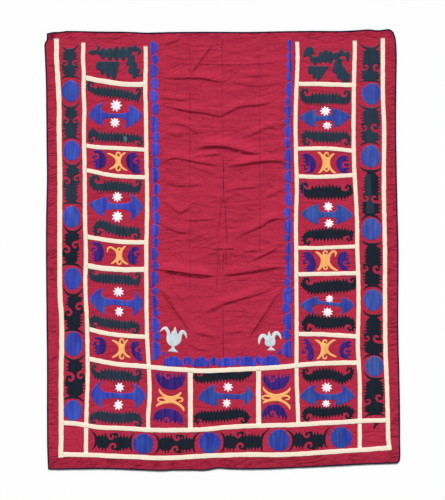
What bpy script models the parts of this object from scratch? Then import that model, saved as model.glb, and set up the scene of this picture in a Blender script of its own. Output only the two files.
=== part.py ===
# A suzani, an embroidered cotton cloth, lying face up with soft folds left in its plain middle field.
# A narrow binding is folded over its edge, and cream tapes sewn on its face divide it into cells.
# Metres. +X is the cloth's right, +Y its top, and +Z goes up from the surface that it lies on.

import math
from collections import namedtuple

import bmesh
import bpy
from mathutils import Vector
from mathutils.geometry import delaunay_2d_cdt

# Driving sizes
CLOTH_THICKNESS = 0.0018
TAPE_THICKNESS = 0.0010
BINDING_WIDTH = 0.007
BINDING_LEG = 0.0008
BINDING_WALL = 0.0010
GAP = 0.0003
TAPE_GAP = 0.0004

# Places across the edge, measured inward from the outline, and the longest step along it
EDGE_LIFT = BINDING_LEG + GAP
CLOTH_INSET = BINDING_WALL + GAP
LIFTED_TO = BINDING_WIDTH + 0.0015
RAMP_TO = 0.022
RAMP_CLEAR = 0.0213
EDGE_STEP = 0.090

# The outline: straight stretches between these places, with its corners rounded to a radius
TOP_LEFT = (-0.859, 1.063)
BOTTOM_LEFT = (-0.855, -1.074)
BOTTOM_RIGHT = (0.873, -1.045)
TOP_RIGHT = (0.846, 1.081)
LEFT_SIDE = (
    (-0.860, 1.031), (-0.872, 1.010), (-0.871, 0.980), (-0.865, 0.833), (-0.861, 0.490), (-0.860, 0.319),
    (-0.864, 0.000), (-0.862, -0.343), (-0.860, -0.686), (-0.859, -0.980),
)
BOTTOM_SIDE = (
    (-0.796, -1.076), (-0.600, -1.073), (-0.306, -1.082), (-0.086, -1.081), (-0.037, -1.073),
    (0.061, -1.076), (0.208, -1.074), (0.355, -1.068), (0.502, -1.061), (0.649, -1.053), (0.811, -1.047),
)
RIGHT_SIDE = (
    (0.872, -0.960), (0.869, -0.735), (0.866, -0.564), (0.862, -0.343), (0.863, -0.049), (0.857, 0.255),
    (0.851, 0.637), (0.854, 0.931), (0.851, 1.024),
)
TOP_SIDE = (
    (0.811, 1.082), (0.752, 1.078), (0.713, 1.081), (0.664, 1.078), (0.576, 1.073), (0.429, 1.074),
    (0.135, 1.069), (-0.159, 1.069), (-0.306, 1.067), (-0.380, 1.065), (-0.453, 1.069), (-0.600, 1.071),
    (-0.737, 1.074), (-0.796, 1.069),
)
CORNER_RADIUS = {TOP_LEFT: 0.010, BOTTOM_LEFT: 0.004, BOTTOM_RIGHT: 0.020, TOP_RIGHT: 0.025}
CORNER_STEPS = 4

# Upright tapes: width, how far the left corner of the cut top end stands above the right one, and the
# centre line from top to bottom. The last place is where the line ends or meets a cross tape.
Tape = namedtuple("Tape", "name width cut line")
UPRIGHTS = (
    Tape("tape_left_outer", 0.023, -0.006, (
        (-0.813, 1.037), (-0.812, 0.970), (-0.803, 0.784), (-0.799, 0.637), (-0.796, 0.319),
        (-0.796, -0.171), (-0.787, -0.392), (-0.790, -0.637), (-0.791, -1.016))),
    Tape("tape_left_middle", 0.020, 0.004, (
        (-0.681, 1.019), (-0.683, 0.931), (-0.677, 0.735), (-0.676, 0.441), (-0.670, -0.025),
        (-0.671, -0.171), (-0.661, -0.490), (-0.661, -0.686), (-0.668, -0.882), (-0.668, -1.010))),
    Tape("tape_left_inner", 0.020, 0.003, (
        (-0.376, 1.000), (-0.375, 0.882), (-0.377, 0.774), (-0.372, 0.441), (-0.369, 0.221),
        (-0.372, -0.025), (-0.369, -0.392), (-0.360, -0.573), (-0.357, -0.686), (-0.364, -0.880))),
    Tape("tape_right_inner", 0.020, -0.003, (
        (0.365, 1.022), (0.369, 0.970), (0.366, 0.857), (0.359, 0.637), (0.365, 0.294), (0.361, 0.073),
        (0.364, -0.245), (0.363, -0.573), (0.369, -0.759), (0.371, -0.860))),
    Tape("tape_right_middle", 0.020, 0.003, (
        (0.647, 1.027), (0.648, 0.956), (0.643, 0.686), (0.644, 0.441), (0.660, 0.098), (0.667, -0.221),
        (0.664, -0.490), (0.673, -0.661), (0.673, -0.985))),
    Tape("tape_right_outer", 0.020, 0.004, (
        (0.785, 1.039), (0.786, 0.833), (0.791, 0.539), (0.792, 0.245), (0.797, -0.049), (0.796, -0.343),
        (0.802, -0.564), (0.809, -0.774), (0.816, -0.975))),
)

# Cross tapes: width and centre line from left to right
UPPER_CROSS = Tape("tape_cross_upper", 0.022, 0.0, (
    (-0.660, -0.533), (-0.590, -0.546), (-0.502, -0.561), (-0.414, -0.568), (-0.238, -0.582),
    (-0.091, -0.592), (0.056, -0.587), (0.233, -0.578), (0.380, -0.563), (0.527, -0.554), (0.670, -0.552)))
MIDDLE_CROSS = Tape("tape_cross_middle", 0.022, 0.0, (
    (-0.790, -0.846), (-0.718, -0.851), (-0.649, -0.862), (-0.532, -0.871), (-0.355, -0.882),
    (-0.179, -0.882), (-0.032, -0.872), (0.115, -0.863), (0.350, -0.857), (0.527, -0.847),
    (0.703, -0.836), (0.815, -0.834)))
LOWER_CROSS = Tape("tape_cross_lower", 0.022, 0.0, (
    (-0.790, -1.001), (-0.620, -1.005), (-0.443, -1.014), (-0.311, -1.019), (-0.179, -1.015),
    (-0.002, -1.005), (0.262, -1.004), (0.439, -0.996), (0.615, -0.983), (0.828, -0.968)))
LOWER_CROSS_END = 0.828

# Short rungs between the middle and inner uprights: side, width and the centre line's height at its
# left end, middle and right end
Rung = namedtuple("Rung", "name side width left middle right")
RUNGS = (
    Rung("rung_left_1", "left", 0.024, 0.840, 0.819, 0.810),
    Rung("rung_left_2", "left", 0.020, 0.510, 0.499, 0.491),
    Rung("rung_left_3", "left", 0.019, 0.390, 0.365, 0.356),
    Rung("rung_left_4", "left", 0.021, 0.064, 0.041, 0.037),
    Rung("rung_left_5", "left", 0.026, -0.078, -0.095, -0.095),
    Rung("rung_left_6", "left", 0.021, -0.387, -0.416, -0.424),
    Rung("rung_right_1", "right", 0.021, 0.813, 0.812, 0.808),
    Rung("rung_right_2", "right", 0.019, 0.495, 0.497, 0.489),
    Rung("rung_right_3", "right", 0.020, 0.360, 0.358, 0.366),
    Rung("rung_right_4", "right", 0.018, 0.011, 0.010, 0.016),
    Rung("rung_right_5", "right", 0.020, -0.119, -0.118, -0.114),
    Rung("rung_right_6", "right", 0.022, -0.412, -0.414, -0.421),
)

# Dividers between the upper and middle cross tapes
Divider = namedtuple("Divider", "name width x")
DIVIDERS = (Divider("divider_left", 0.024, -0.157), Divider("divider_right", 0.024, 0.177))

# Where one tape crosses over another it rises clear of it, level past its edges and then sloping down
CROSSING_LEVEL = 0.003
CROSSING_SLOPE = 0.009

# Folds left in the plain field: three places along each crest, and its height
Fold = namedtuple("Fold", "name start middle end height")
FOLDS = (
    Fold("brow", (-0.296, 1.004), (-0.247, 1.020), (-0.198, 1.030), 0.005),
    Fold("slash", (-0.164, 0.853), (-0.105, 0.936), (-0.043, 1.019), 0.005),
    Fold("first_left", (-0.311, 0.848), (-0.125, 0.851), (0.042, 0.831), 0.006),
    Fold("first_right", (0.017, 0.833), (0.164, 0.811), (0.306, 0.821), 0.005),
    Fold("shelf", (-0.311, 0.755), (-0.233, 0.746), (-0.159, 0.735), 0.005),
    Fold("swag_left", (-0.301, 0.720), (-0.149, 0.686), (-0.002, 0.661), 0.008),
    Fold("swag_right", (-0.002, 0.661), (0.135, 0.715), (0.301, 0.747), 0.008),
    Fold("tuck_left", (-0.267, 0.630), (-0.184, 0.617), (-0.113, 0.573), 0.006),
    Fold("tuck_right", (0.120, 0.559), (0.208, 0.603), (0.301, 0.600), 0.007),
    Fold("main_upper", (-0.120, 0.502), (0.027, 0.514), (0.223, 0.473), 0.011),
    Fold("under_left", (-0.296, 0.434), (-0.198, 0.458), (-0.002, 0.421), 0.007),
    Fold("main_right", (0.012, 0.416), (0.164, 0.441), (0.311, 0.434), 0.010),
    Fold("drop_left", (-0.272, 0.343), (-0.198, 0.323), (-0.086, 0.331), 0.006),
    Fold("drop_middle", (0.012, 0.294), (0.096, 0.312), (0.203, 0.321), 0.006),
    Fold("drop_right", (0.218, 0.265), (0.262, 0.289), (0.306, 0.309), 0.006),
    Fold("vee_left", (-0.282, 0.250), (-0.247, 0.216), (-0.211, 0.186), 0.006),
    Fold("vee_right", (-0.211, 0.186), (-0.179, 0.208), (-0.149, 0.235), 0.006),
    Fold("elbow", (-0.306, 0.142), (-0.243, 0.105), (-0.159, 0.088), 0.006),
    Fold("slope_right", (0.056, 0.056), (0.174, 0.118), (0.321, 0.162), 0.009),
    Fold("nick", (0.158, -0.042), (0.218, -0.012), (0.279, 0.015), 0.007),
    Fold("main_lower", (-0.321, -0.086), (-0.042, -0.118), (0.301, -0.078), 0.012),
    Fold("lower_swag", (-0.105, -0.306), (0.066, -0.238), (0.292, -0.154), 0.008),
    Fold("corner_left", (-0.314, -0.181), (-0.223, -0.309), (-0.169, -0.446), 0.008),
    Fold("corner_right", (0.301, -0.174), (0.223, -0.292), (0.125, -0.431), 0.006),
    Fold("foot", (-0.145, -0.397), (-0.084, -0.409), (-0.024, -0.434), 0.005),
)
UPPER_REACH = 0.034
LOWER_REACH = 0.018
FOLD_TAPER = 0.22
FOLD_STEP = 0.030
FOLD_SAMPLES = 24
FIELD_LEFT = -0.352
FIELD_RIGHT = 0.345
FIELD_TOP = 1.040
FIELD_BOTTOM = -0.545
FIELD_FADE = 0.030

# Spacing of the cloth's points
CREST_SPACING = 0.012
FIELD_GRID = 0.060
GRID_SPACING = 0.030
SAME_PLACE = 1e-6
INSIDE_ONLY = 1

# Colours as seen, sRGB 0 to 255
CRIMSON = (183, 43, 70)
BINDING_DARK = (50, 25, 37)
CREAM = (246, 233, 217)


def clear_scene():
    for item in list(bpy.data.objects):
        bpy.data.objects.remove(item, do_unlink=True)


def fabric(name, colour, roughness):
    linear = [(channel / 255.0) ** 2.2 for channel in colour]
    material = bpy.data.materials.new(name)
    material.use_nodes = True
    shader = material.node_tree.nodes["Principled BSDF"]
    shader.inputs["Base Color"].default_value = (*linear, 1.0)
    shader.inputs["Roughness"].default_value = roughness
    shader.inputs["Metallic"].default_value = 0.0
    return material


def add_object(name, mesh, material, centre):
    mesh.materials.append(material)
    item = bpy.data.objects.new(name, mesh)
    item.location = (-centre.x, -centre.y, 0.0)
    bpy.context.scene.collection.objects.link(item)
    return item


def rounded_corner(before, corner, after, radius):
    """Places round a corner on an arc that touches both of its sides."""
    towards_before = (before - corner).normalized()
    towards_after = (after - corner).normalized()
    half_angle = towards_before.angle(towards_after) / 2
    reach = radius / math.tan(half_angle)
    middle = corner + (towards_before + towards_after).normalized() * (radius / math.sin(half_angle))
    start = corner + towards_before * reach - middle
    sweep = start.angle_signed(corner + towards_after * reach - middle)
    arc = []
    for step in range(CORNER_STEPS + 1):
        turn = -sweep * step / CORNER_STEPS
        arc.append(middle + Vector((
            start.x * math.cos(turn) - start.y * math.sin(turn),
            start.x * math.sin(turn) + start.y * math.cos(turn))))
    return arc


def make_outline():
    """The edge, anticlockwise, with no step along it longer than EDGE_STEP."""
    ring = [TOP_LEFT, *LEFT_SIDE, BOTTOM_LEFT, *BOTTOM_SIDE, BOTTOM_RIGHT, *RIGHT_SIDE, TOP_RIGHT, *TOP_SIDE]
    places = []
    for index, place in enumerate(ring):
        here = Vector(place)
        if place in CORNER_RADIUS:
            before = Vector(ring[index - 1])
            after = Vector(ring[(index + 1) % len(ring)])
            places.extend(rounded_corner(before, here, after, CORNER_RADIUS[place]))
        else:
            places.append(here)
    outline = []
    for here, after in zip(places, places[1:] + places[:1]):
        steps = math.ceil((after - here).length / EDGE_STEP)
        outline.extend(here.lerp(after, step / steps) for step in range(steps))
    return outline


def inset(outline, distance):
    """The same stations moved inward by a distance, square to the edge."""
    moved = []
    for index, here in enumerate(outline):
        arriving = (here - outline[index - 1]).normalized()
        leaving = (outline[(index + 1) % len(outline)] - here).normalized()
        inward = Vector((-arriving.y - leaving.y, arriving.x + leaving.x)).normalized()
        spread = inward.dot(Vector((-leaving.y, leaving.x)))
        moved.append(here + inward * (distance / spread))
    return moved


def distance_to_edge(place, outline):
    nearest = math.inf
    for index, here in enumerate(outline):
        after = outline[(index + 1) % len(outline)]
        along = after - here
        share = max(0.0, min(1.0, (place - here).dot(along) / along.length_squared))
        nearest = min(nearest, (place - here - along * share).length)
    return nearest


def fold_place(fold, share):
    """A place on a fold's crest, on the curve through its three places."""
    start, middle, end = Vector(fold.start), Vector(fold.middle), Vector(fold.end)
    control = middle * 2 - (start + end) / 2
    return start * (1 - share) ** 2 + control * (2 * share * (1 - share)) + end * share ** 2


def fold_uphill(fold, share):
    """The direction across a fold, square to its crest, that points to the cloth's top."""
    along = fold_place(fold, min(1.0, share + 0.01)) - fold_place(fold, max(0.0, share - 0.01))
    across = Vector((-along.y, along.x)).normalized()
    return across if across.y > 0 else -across


def smooth(value):
    value = max(0.0, min(1.0, value))
    return value * value * (3 - 2 * value)


def fold_height(place):
    """How far the folds lift the cloth off the surface at a place."""
    inside_field = min(
        place.x - FIELD_LEFT, FIELD_RIGHT - place.x, FIELD_TOP - place.y, place.y - FIELD_BOTTOM)
    if inside_field <= 0:
        return 0.0
    height = 0.0
    for fold in FOLDS:
        shares = [sample / FOLD_SAMPLES for sample in range(FOLD_SAMPLES + 1)]
        share = min(shares, key=lambda s: (place - fold_place(fold, s)).length_squared)
        offset = place - fold_place(fold, share)
        reach = UPPER_REACH if offset.dot(fold_uphill(fold, share)) > 0 else LOWER_REACH
        across = smooth(1 - offset.length / reach)
        ends = smooth(min(share, 1 - share) / FOLD_TAPER)
        height = max(height, fold.height * across * ends)
    return height * smooth(inside_field / FIELD_FADE)


def fold_stations(fold):
    """Crest places of a fold, evenly spread."""
    length = (Vector(fold.end) - Vector(fold.start)).length
    steps = max(4, round(length / FOLD_STEP))
    return [step / steps for step in range(steps + 1)]


def cloth_points(outline):
    """Plan places of the cloth's points, with the lines between them that stay edges."""
    points = []
    lines = []

    def add_ring(places):
        first = len(points)
        points.extend(places)
        lines.extend((first + i, first + (i + 1) % len(places)) for i in range(len(places)))

    add_ring(inset(outline, CLOTH_INSET))
    add_ring(inset(outline, LIFTED_TO))
    ramp_foot = inset(outline, RAMP_TO)
    add_ring([place for place in ramp_foot if distance_to_edge(place, outline) > RAMP_CLEAR])

    field = (
        (FIELD_LEFT, FIELD_BOTTOM), (FIELD_RIGHT, FIELD_BOTTOM),
        (FIELD_RIGHT, FIELD_TOP), (FIELD_LEFT, FIELD_TOP))
    field_ring = []
    for here, after in zip(field, field[1:] + field[:1]):
        steps = math.ceil((Vector(after) - Vector(here)).length / FIELD_GRID)
        field_ring.extend(Vector(here).lerp(Vector(after), step / steps) for step in range(steps))
    add_ring(field_ring)

    def add_point(place, spacing):
        in_x = FIELD_LEFT + spacing < place.x < FIELD_RIGHT - spacing
        in_y = FIELD_BOTTOM + spacing < place.y < FIELD_TOP - spacing
        if in_x and in_y and all((place - other).length > spacing for other in points):
            points.append(place)

    for row in (0.0, -0.5 * LOWER_REACH, -LOWER_REACH, 0.5 * UPPER_REACH, UPPER_REACH):
        for fold in FOLDS:
            for share in fold_stations(fold):
                add_point(fold_place(fold, share) + fold_uphill(fold, share) * row, CREST_SPACING)

    rows = int((FIELD_TOP - FIELD_BOTTOM) / FIELD_GRID)
    columns = int((FIELD_RIGHT - FIELD_LEFT) / FIELD_GRID)
    for row in range(rows + 1):
        for column in range(columns + 1):
            x = FIELD_LEFT + (column + 0.5 * (row % 2)) * FIELD_GRID
            y = FIELD_BOTTOM + row * FIELD_GRID
            add_point(Vector((x, y)), GRID_SPACING)
    return points, lines


def make_cloth(outline):
    """The ground cloth: level under the binding, down on the surface further in, lifted at its folds."""
    points, lines = cloth_points(outline)
    places, _, triangles, _, _, _ = delaunay_2d_cdt(points, lines, [], INSIDE_ONLY, SAME_PLACE)
    bm = bmesh.new()
    under = []
    upper = []
    for place in places:
        near_edge = distance_to_edge(place, outline) < (LIFTED_TO + RAMP_TO) / 2
        low = EDGE_LIFT if near_edge else fold_height(place)
        under.append(bm.verts.new((place.x, place.y, low)))
        upper.append(bm.verts.new((place.x, place.y, low + CLOTH_THICKNESS)))
    for triangle in triangles:
        a, b, c = (places[corner] for corner in triangle)
        order = triangle if (b - a).cross(c - a) > 0 else triangle[::-1]
        bm.faces.new([upper[corner] for corner in order])
        bm.faces.new([under[corner] for corner in reversed(order)])
    partner = dict(zip(upper, under))
    for edge in [edge for edge in bm.edges if edge.is_boundary and edge.verts[0] in partner]:
        start, end = edge.verts
        if edge.link_loops[0].vert == end:
            start, end = end, start
        bm.faces.new((end, start, partner[start], partner[end]))
    bmesh.ops.triangulate(bm, faces=bm.faces[:])
    mesh = bpy.data.meshes.new("ground_cloth")
    bm.to_mesh(mesh)
    bm.free()
    return mesh


def make_binding(outline):
    """A strip folded over the edge: one leg under the cloth, a wall past it and one leg on top."""
    upper_leg = EDGE_LIFT + CLOTH_THICKNESS + GAP
    section = (
        (0.0, 0.0), (BINDING_WIDTH, 0.0), (BINDING_WIDTH, BINDING_LEG), (BINDING_WALL, BINDING_LEG),
        (BINDING_WALL, upper_leg), (BINDING_WIDTH, upper_leg), (BINDING_WIDTH, upper_leg + BINDING_LEG),
        (0.0, upper_leg + BINDING_LEG))
    bm = bmesh.new()
    rings = []
    for inward, height in section:
        ring = [bm.verts.new((place.x, place.y, height)) for place in inset(outline, inward)]
        rings.append(ring)
    for ring, next_ring in zip(rings, rings[1:] + rings[:1]):
        for index in range(len(ring)):
            after = (index + 1) % len(ring)
            bm.faces.new((ring[index], next_ring[index], next_ring[after], ring[after]))
    bmesh.ops.recalc_face_normals(bm, faces=bm.faces[:])
    bmesh.ops.triangulate(bm, faces=bm.faces[:])
    mesh = bpy.data.meshes.new("binding")
    bm.to_mesh(mesh)
    bm.free()
    return mesh


def ribbon(name, left_side, right_side, heights):
    """A tape as a flat bar between two lists of plan places, its underside at the given heights."""
    bm = bmesh.new()
    sections = []
    for left, right, height in zip(left_side, right_side, heights):
        top = height + TAPE_THICKNESS
        corners = ((left, height), (right, height), (right, top), (left, top))
        sections.append([bm.verts.new((*place, z)) for place, z in corners])
    for section, next_section in zip(sections, sections[1:]):
        for corner in range(4):
            after = (corner + 1) % 4
            bm.faces.new((section[corner], section[after], next_section[after], next_section[corner]))
    bm.faces.new(sections[0])
    bm.faces.new(reversed(sections[-1]))
    bmesh.ops.recalc_face_normals(bm, faces=bm.faces[:])
    bmesh.ops.triangulate(bm, faces=bm.faces[:])
    mesh = bpy.data.meshes.new(name)
    bm.to_mesh(mesh)
    bm.free()
    return mesh


def read_line(line, value, measured):
    """Reads a line at one coordinate: measured is 0 for a cross tape (by x), 1 for an upright (by y)."""
    ordered = sorted(line, key=lambda place: place[measured])
    for here, after in zip(ordered, ordered[1:]):
        if value <= after[measured]:
            break
    share = (value - here[measured]) / (after[measured] - here[measured])
    other = 1 - measured
    return here[other] + (after[other] - here[other]) * share


def x_of(upright, y):
    return read_line(upright.line, y, 1)


def y_of(cross, x):
    return read_line(cross.line, x, 0)


TAPE_UNDERSIDE = CLOTH_THICKNESS + GAP
TAPE_OVER_TAPE = TAPE_UNDERSIDE + TAPE_THICKNESS + GAP
BY_NAME = {tape.name: tape for tape in UPRIGHTS}
LEFT_OUTER = BY_NAME["tape_left_outer"]
LEFT_MIDDLE = BY_NAME["tape_left_middle"]
LEFT_INNER = BY_NAME["tape_left_inner"]
RIGHT_INNER = BY_NAME["tape_right_inner"]
RIGHT_MIDDLE = BY_NAME["tape_right_middle"]
RIGHT_OUTER = BY_NAME["tape_right_outer"]
ENDS_ON = {
    "tape_left_middle": LOWER_CROSS, "tape_left_inner": MIDDLE_CROSS, "tape_right_inner": MIDDLE_CROSS,
    "tape_right_middle": LOWER_CROSS, "tape_right_outer": LOWER_CROSS,
}


def make_upright(tape):
    """An upright tape, cut askew at its top and square or along a cross tape at its bottom."""
    half = tape.width / 2
    left_side = [Vector((x - half, y)) for x, y in tape.line]
    right_side = [Vector((x + half, y)) for x, y in tape.line]
    left_side[0].y += tape.cut / 2
    right_side[0].y -= tape.cut / 2
    cross = ENDS_ON.get(tape.name)
    if cross:
        for side in (left_side, right_side):
            corner = side[-1]
            corner.y = y_of(cross, min(corner.x, LOWER_CROSS_END)) + cross.width / 2 + TAPE_GAP
    return ribbon(tape.name, left_side, right_side, [TAPE_UNDERSIDE] * len(left_side))


def make_cross(tape, from_upright, to_upright, crossed):
    """A cross tape between two uprights, or past the last one, rising over those that it crosses."""
    half = tape.width / 2

    def end_x(upright, side, y):
        return x_of(upright, y) + side * (upright.width / 2 + TAPE_GAP)

    start_x = end_x(from_upright, 1, tape.line[0][1])
    last_x = end_x(to_upright, -1, tape.line[-1][1]) if to_upright else LOWER_CROSS_END
    rises = [
        (x_of(upright, y_of(tape, upright.line[-1][0])), upright.width / 2 + CROSSING_LEVEL)
        for upright in crossed]
    stations = {start_x: TAPE_UNDERSIDE, last_x: TAPE_UNDERSIDE}
    for x, _ in tape.line:
        on_cloth = all(abs(x - middle) > level + CROSSING_SLOPE for middle, level in rises)
        if on_cloth and start_x < x < last_x:
            stations[x] = TAPE_UNDERSIDE
    for middle, level in rises:
        for side in (-1, 1):
            stations[middle + side * level] = TAPE_OVER_TAPE
            stations[middle + side * (level + CROSSING_SLOPE)] = TAPE_UNDERSIDE
    kept = sorted(stations)
    upper = [Vector((x, y_of(tape, x) + half)) for x in kept]
    lower = [Vector((x, y_of(tape, x) - half)) for x in kept]
    for side in (upper, lower):
        side[0].x = end_x(from_upright, 1, side[0].y)
        if to_upright:
            side[-1].x = end_x(to_upright, -1, side[-1].y)
    return ribbon(tape.name, upper, lower, [stations[x] for x in kept])


def make_rung(rung):
    """A short tape between the middle and inner uprights of one side."""
    before, after = (LEFT_MIDDLE, LEFT_INNER) if rung.side == "left" else (RIGHT_INNER, RIGHT_MIDDLE)
    sides = []
    for offset in (rung.width / 2, -rung.width / 2):
        left = Vector((0.0, rung.left + offset))
        right = Vector((0.0, rung.right + offset))
        left.x = x_of(before, left.y) + before.width / 2 + TAPE_GAP
        right.x = x_of(after, right.y) - after.width / 2 - TAPE_GAP
        middle = Vector(((left.x + right.x) / 2, rung.middle + offset))
        sides.append([left, middle, right])
    return ribbon(rung.name, *sides, [TAPE_UNDERSIDE] * 3)


def make_divider(divider):
    """A short upright tape between the upper and middle cross tapes."""
    sides = []
    for offset in (-divider.width / 2, divider.width / 2):
        x = divider.x + offset
        top = y_of(UPPER_CROSS, x) - UPPER_CROSS.width / 2 - TAPE_GAP
        bottom = y_of(MIDDLE_CROSS, x) + MIDDLE_CROSS.width / 2 + TAPE_GAP
        sides.append([Vector((x, top)), Vector((x, bottom))])
    return ribbon(divider.name, *sides, [TAPE_UNDERSIDE] * 2)


def build_suzani():
    clear_scene()
    outline = make_outline()
    centre = Vector((
        (min(p.x for p in outline) + max(p.x for p in outline)) / 2,
        (min(p.y for p in outline) + max(p.y for p in outline)) / 2))
    add_object("ground_cloth", make_cloth(outline), fabric("crimson_cotton", CRIMSON, 0.9), centre)
    add_object("binding", make_binding(outline), fabric("dark_binding", BINDING_DARK, 0.9), centre)

    tapes = {tape.name: make_upright(tape) for tape in UPRIGHTS}
    tapes[UPPER_CROSS.name] = make_cross(
        UPPER_CROSS, LEFT_MIDDLE, RIGHT_MIDDLE, (LEFT_INNER, RIGHT_INNER))
    tapes[MIDDLE_CROSS.name] = make_cross(
        MIDDLE_CROSS, LEFT_OUTER, RIGHT_OUTER, (LEFT_MIDDLE, RIGHT_MIDDLE))
    tapes[LOWER_CROSS.name] = make_cross(LOWER_CROSS, LEFT_OUTER, None, ())
    tapes.update((rung.name, make_rung(rung)) for rung in RUNGS)
    tapes.update((divider.name, make_divider(divider)) for divider in DIVIDERS)
    for name, mesh in tapes.items():
        add_object(name, mesh, fabric("cream_" + name, CREAM, 0.85), centre)


build_suzani()
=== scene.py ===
import math
from collections import namedtuple

import bpy
import numpy as np
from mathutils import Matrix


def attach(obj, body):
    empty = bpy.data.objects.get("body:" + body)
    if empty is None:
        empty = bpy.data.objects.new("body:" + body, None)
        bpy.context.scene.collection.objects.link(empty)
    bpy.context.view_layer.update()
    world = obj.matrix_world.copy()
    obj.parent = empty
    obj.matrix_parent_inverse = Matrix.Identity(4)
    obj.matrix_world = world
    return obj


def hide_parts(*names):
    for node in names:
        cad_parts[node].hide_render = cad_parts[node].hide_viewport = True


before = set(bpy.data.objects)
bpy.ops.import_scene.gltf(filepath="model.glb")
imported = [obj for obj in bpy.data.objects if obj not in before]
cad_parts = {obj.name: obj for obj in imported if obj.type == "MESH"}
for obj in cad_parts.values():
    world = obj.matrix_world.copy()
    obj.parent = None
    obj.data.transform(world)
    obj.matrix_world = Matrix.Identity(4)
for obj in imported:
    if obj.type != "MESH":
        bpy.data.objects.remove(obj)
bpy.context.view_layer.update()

# Places on the cloth are charted in squares of 4.9 mm, x to the right and y down from the chart's corner.
# Places, widths, lengths and radii are in squares where nothing else is said.
SQUARE = 0.0049
CHART_MIDDLE = (222.6, 250.0)
CHART_HEIGHT = 500
MM = 0.001

CLOTH_THICKNESS = 1.8 * MM
CLOTH_LIFT = 0.7 * MM
LEAST_LIFT = 0.05 * MM
EDGE_LIFT = 0.3 * MM
TAPE_RISE = 1.5 * MM
TAPE_SINK = 0.2 * MM
FLOSS_RISE = 1.1 * MM
STAR_RISE = 1.3 * MM
PROUD_RISE = 1.6 * MM
FLOSS_SINK = 0.15 * MM
BINDING_WIDTH = 8.2 * MM
BINDING_HEIGHT = 3.4 * MM
BINDING_SINK = 2.7 * MM

# The outline as read from the photo, anticlockwise from the top left corner, as a smooth run for each side
LEFT_EDGE = (
    (47.0, 33.4), (46.9, 36.5), (46.7, 40.0), (45.1, 42.6), (44.5, 45.0), (44.7, 50), (45.3, 65),
    (45.9, 80), (46.2, 100), (46.6, 140), (47.0, 180), (46.5, 200), (46.0, 240), (46.2, 280), (46.6, 320),
    (47.0, 360), (47.0, 400), (47.1, 440), (47.6, 460), (48.1, 468.9),
)
BOTTOM_EDGE = (
    (48.1, 468.9), (51, 469.5), (60, 469.6), (80, 469.3), (100, 469.0), (130, 469.8), (160, 471.0),
    (175, 470.4), (190, 470.4), (205, 470.7), (215, 468.9), (221, 468.5), (235, 469.4), (265, 469.2),
    (295, 468.0), (325, 466.6), (355, 465.0), (388, 463.7), (395, 463.4), (397.6, 463.0), (399.2, 461.6),
)
RIGHT_EDGE = (
    (399.2, 461.6), (400.2, 459), (400.5, 455), (400.5, 450), (400.3, 440), (400.0, 400), (399.4, 370),
    (398.6, 340), (398.4, 310), (398.7, 260), (398.5, 240), (397.5, 200), (396.7, 160), (396.3, 120),
    (396.6, 80), (396.9, 60), (396.6, 47), (396.0, 40), (395.1, 36), (393.6, 32.2),
)
TOP_EDGE = (
    (393.6, 32.2), (391.2, 29.9), (388, 29.1), (382, 29.9), (376, 30.1), (370, 29.4), (363, 29.7),
    (357, 30.2), (340, 31.0), (310, 30.9), (280, 31.3), (250, 31.9), (220, 31.8), (190, 31.8), (160, 32.3),
    (145, 32.6), (130, 31.8), (100, 31.5), (72, 30.9), (66, 31.0), (60, 31.8), (54, 32.0), (50, 32.7),
    (47.0, 33.4),
)

# Tapes sewn on the face, as read from the photo: width and centre line
Tape = namedtuple("Tape", "width line")
UPRIGHTS = {
    "tape_left_outer": Tape(4.8, ((56.6, 38.3), (56.7, 50), (56.9, 60), (57.8, 75), (58.7, 90), (59.4, 110),
        (59.3, 130), (59.9, 160), (60.0, 190), (60.0, 285), (61.6, 315), (61.9, 345), (61.2, 380),
        (61.4, 415), (61.1, 457.2))),
    "tape_left_middle": Tape(4.0, ((83.5, 42.2), (83.2, 60), (84.1, 75), (83.7, 90), (84.5, 110),
        (84.1, 130), (84.6, 160), (85.0, 190), (85.2, 220), (86.1, 255), (85.5, 285), (86.8, 315),
        (87.6, 345), (87.8, 380), (87.1, 400), (86.2, 435), (86.2, 452.7))),
    "tape_left_inner": Tape(4.0, ((145.8, 45.9), (146.0, 60), (145.7, 75), (145.4, 90), (146.0, 110),
        (146.6, 160), (147.1, 190), (147.1, 220), (146.4, 255), (146.8, 315), (147.6, 345), (149.6, 380),
        (149.6, 400), (148.3, 415), (148.3, 427.6))),
    "tape_right_inner": Tape(3.9, ((297.0, 41.4), (297.6, 50), (297.7, 60), (297.2, 75), (296.5, 90),
        (295.8, 110), (295.7, 130), (296.2, 160), (296.9, 190), (296.1, 220), (296.3, 255), (296.7, 315),
        (296.6, 345), (296.8, 380), (297.5, 400), (298.1, 415), (298.2, 422.4))),
    "tape_right_middle": Tape(4.0, ((354.7, 40.2), (354.9, 50), (354.2, 75), (353.7, 110), (354.0, 160),
        (355.6, 190), (357.0, 220), (357.5, 255), (358.5, 285), (358.5, 315), (357.9, 345), (359.8, 380),
        (359.9, 400), (359.8, 447.4))),
    "tape_right_outer": Tape(4.2, ((382.8, 37.8), (382.9, 90), (383.4, 110), (384.2, 130), (383.9, 190),
        (385.1, 255), (385.0, 285), (385.4, 345), (386.7, 380), (387.8, 415), (388.1, 435),
        (389.0, 446.2))),
}
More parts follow.
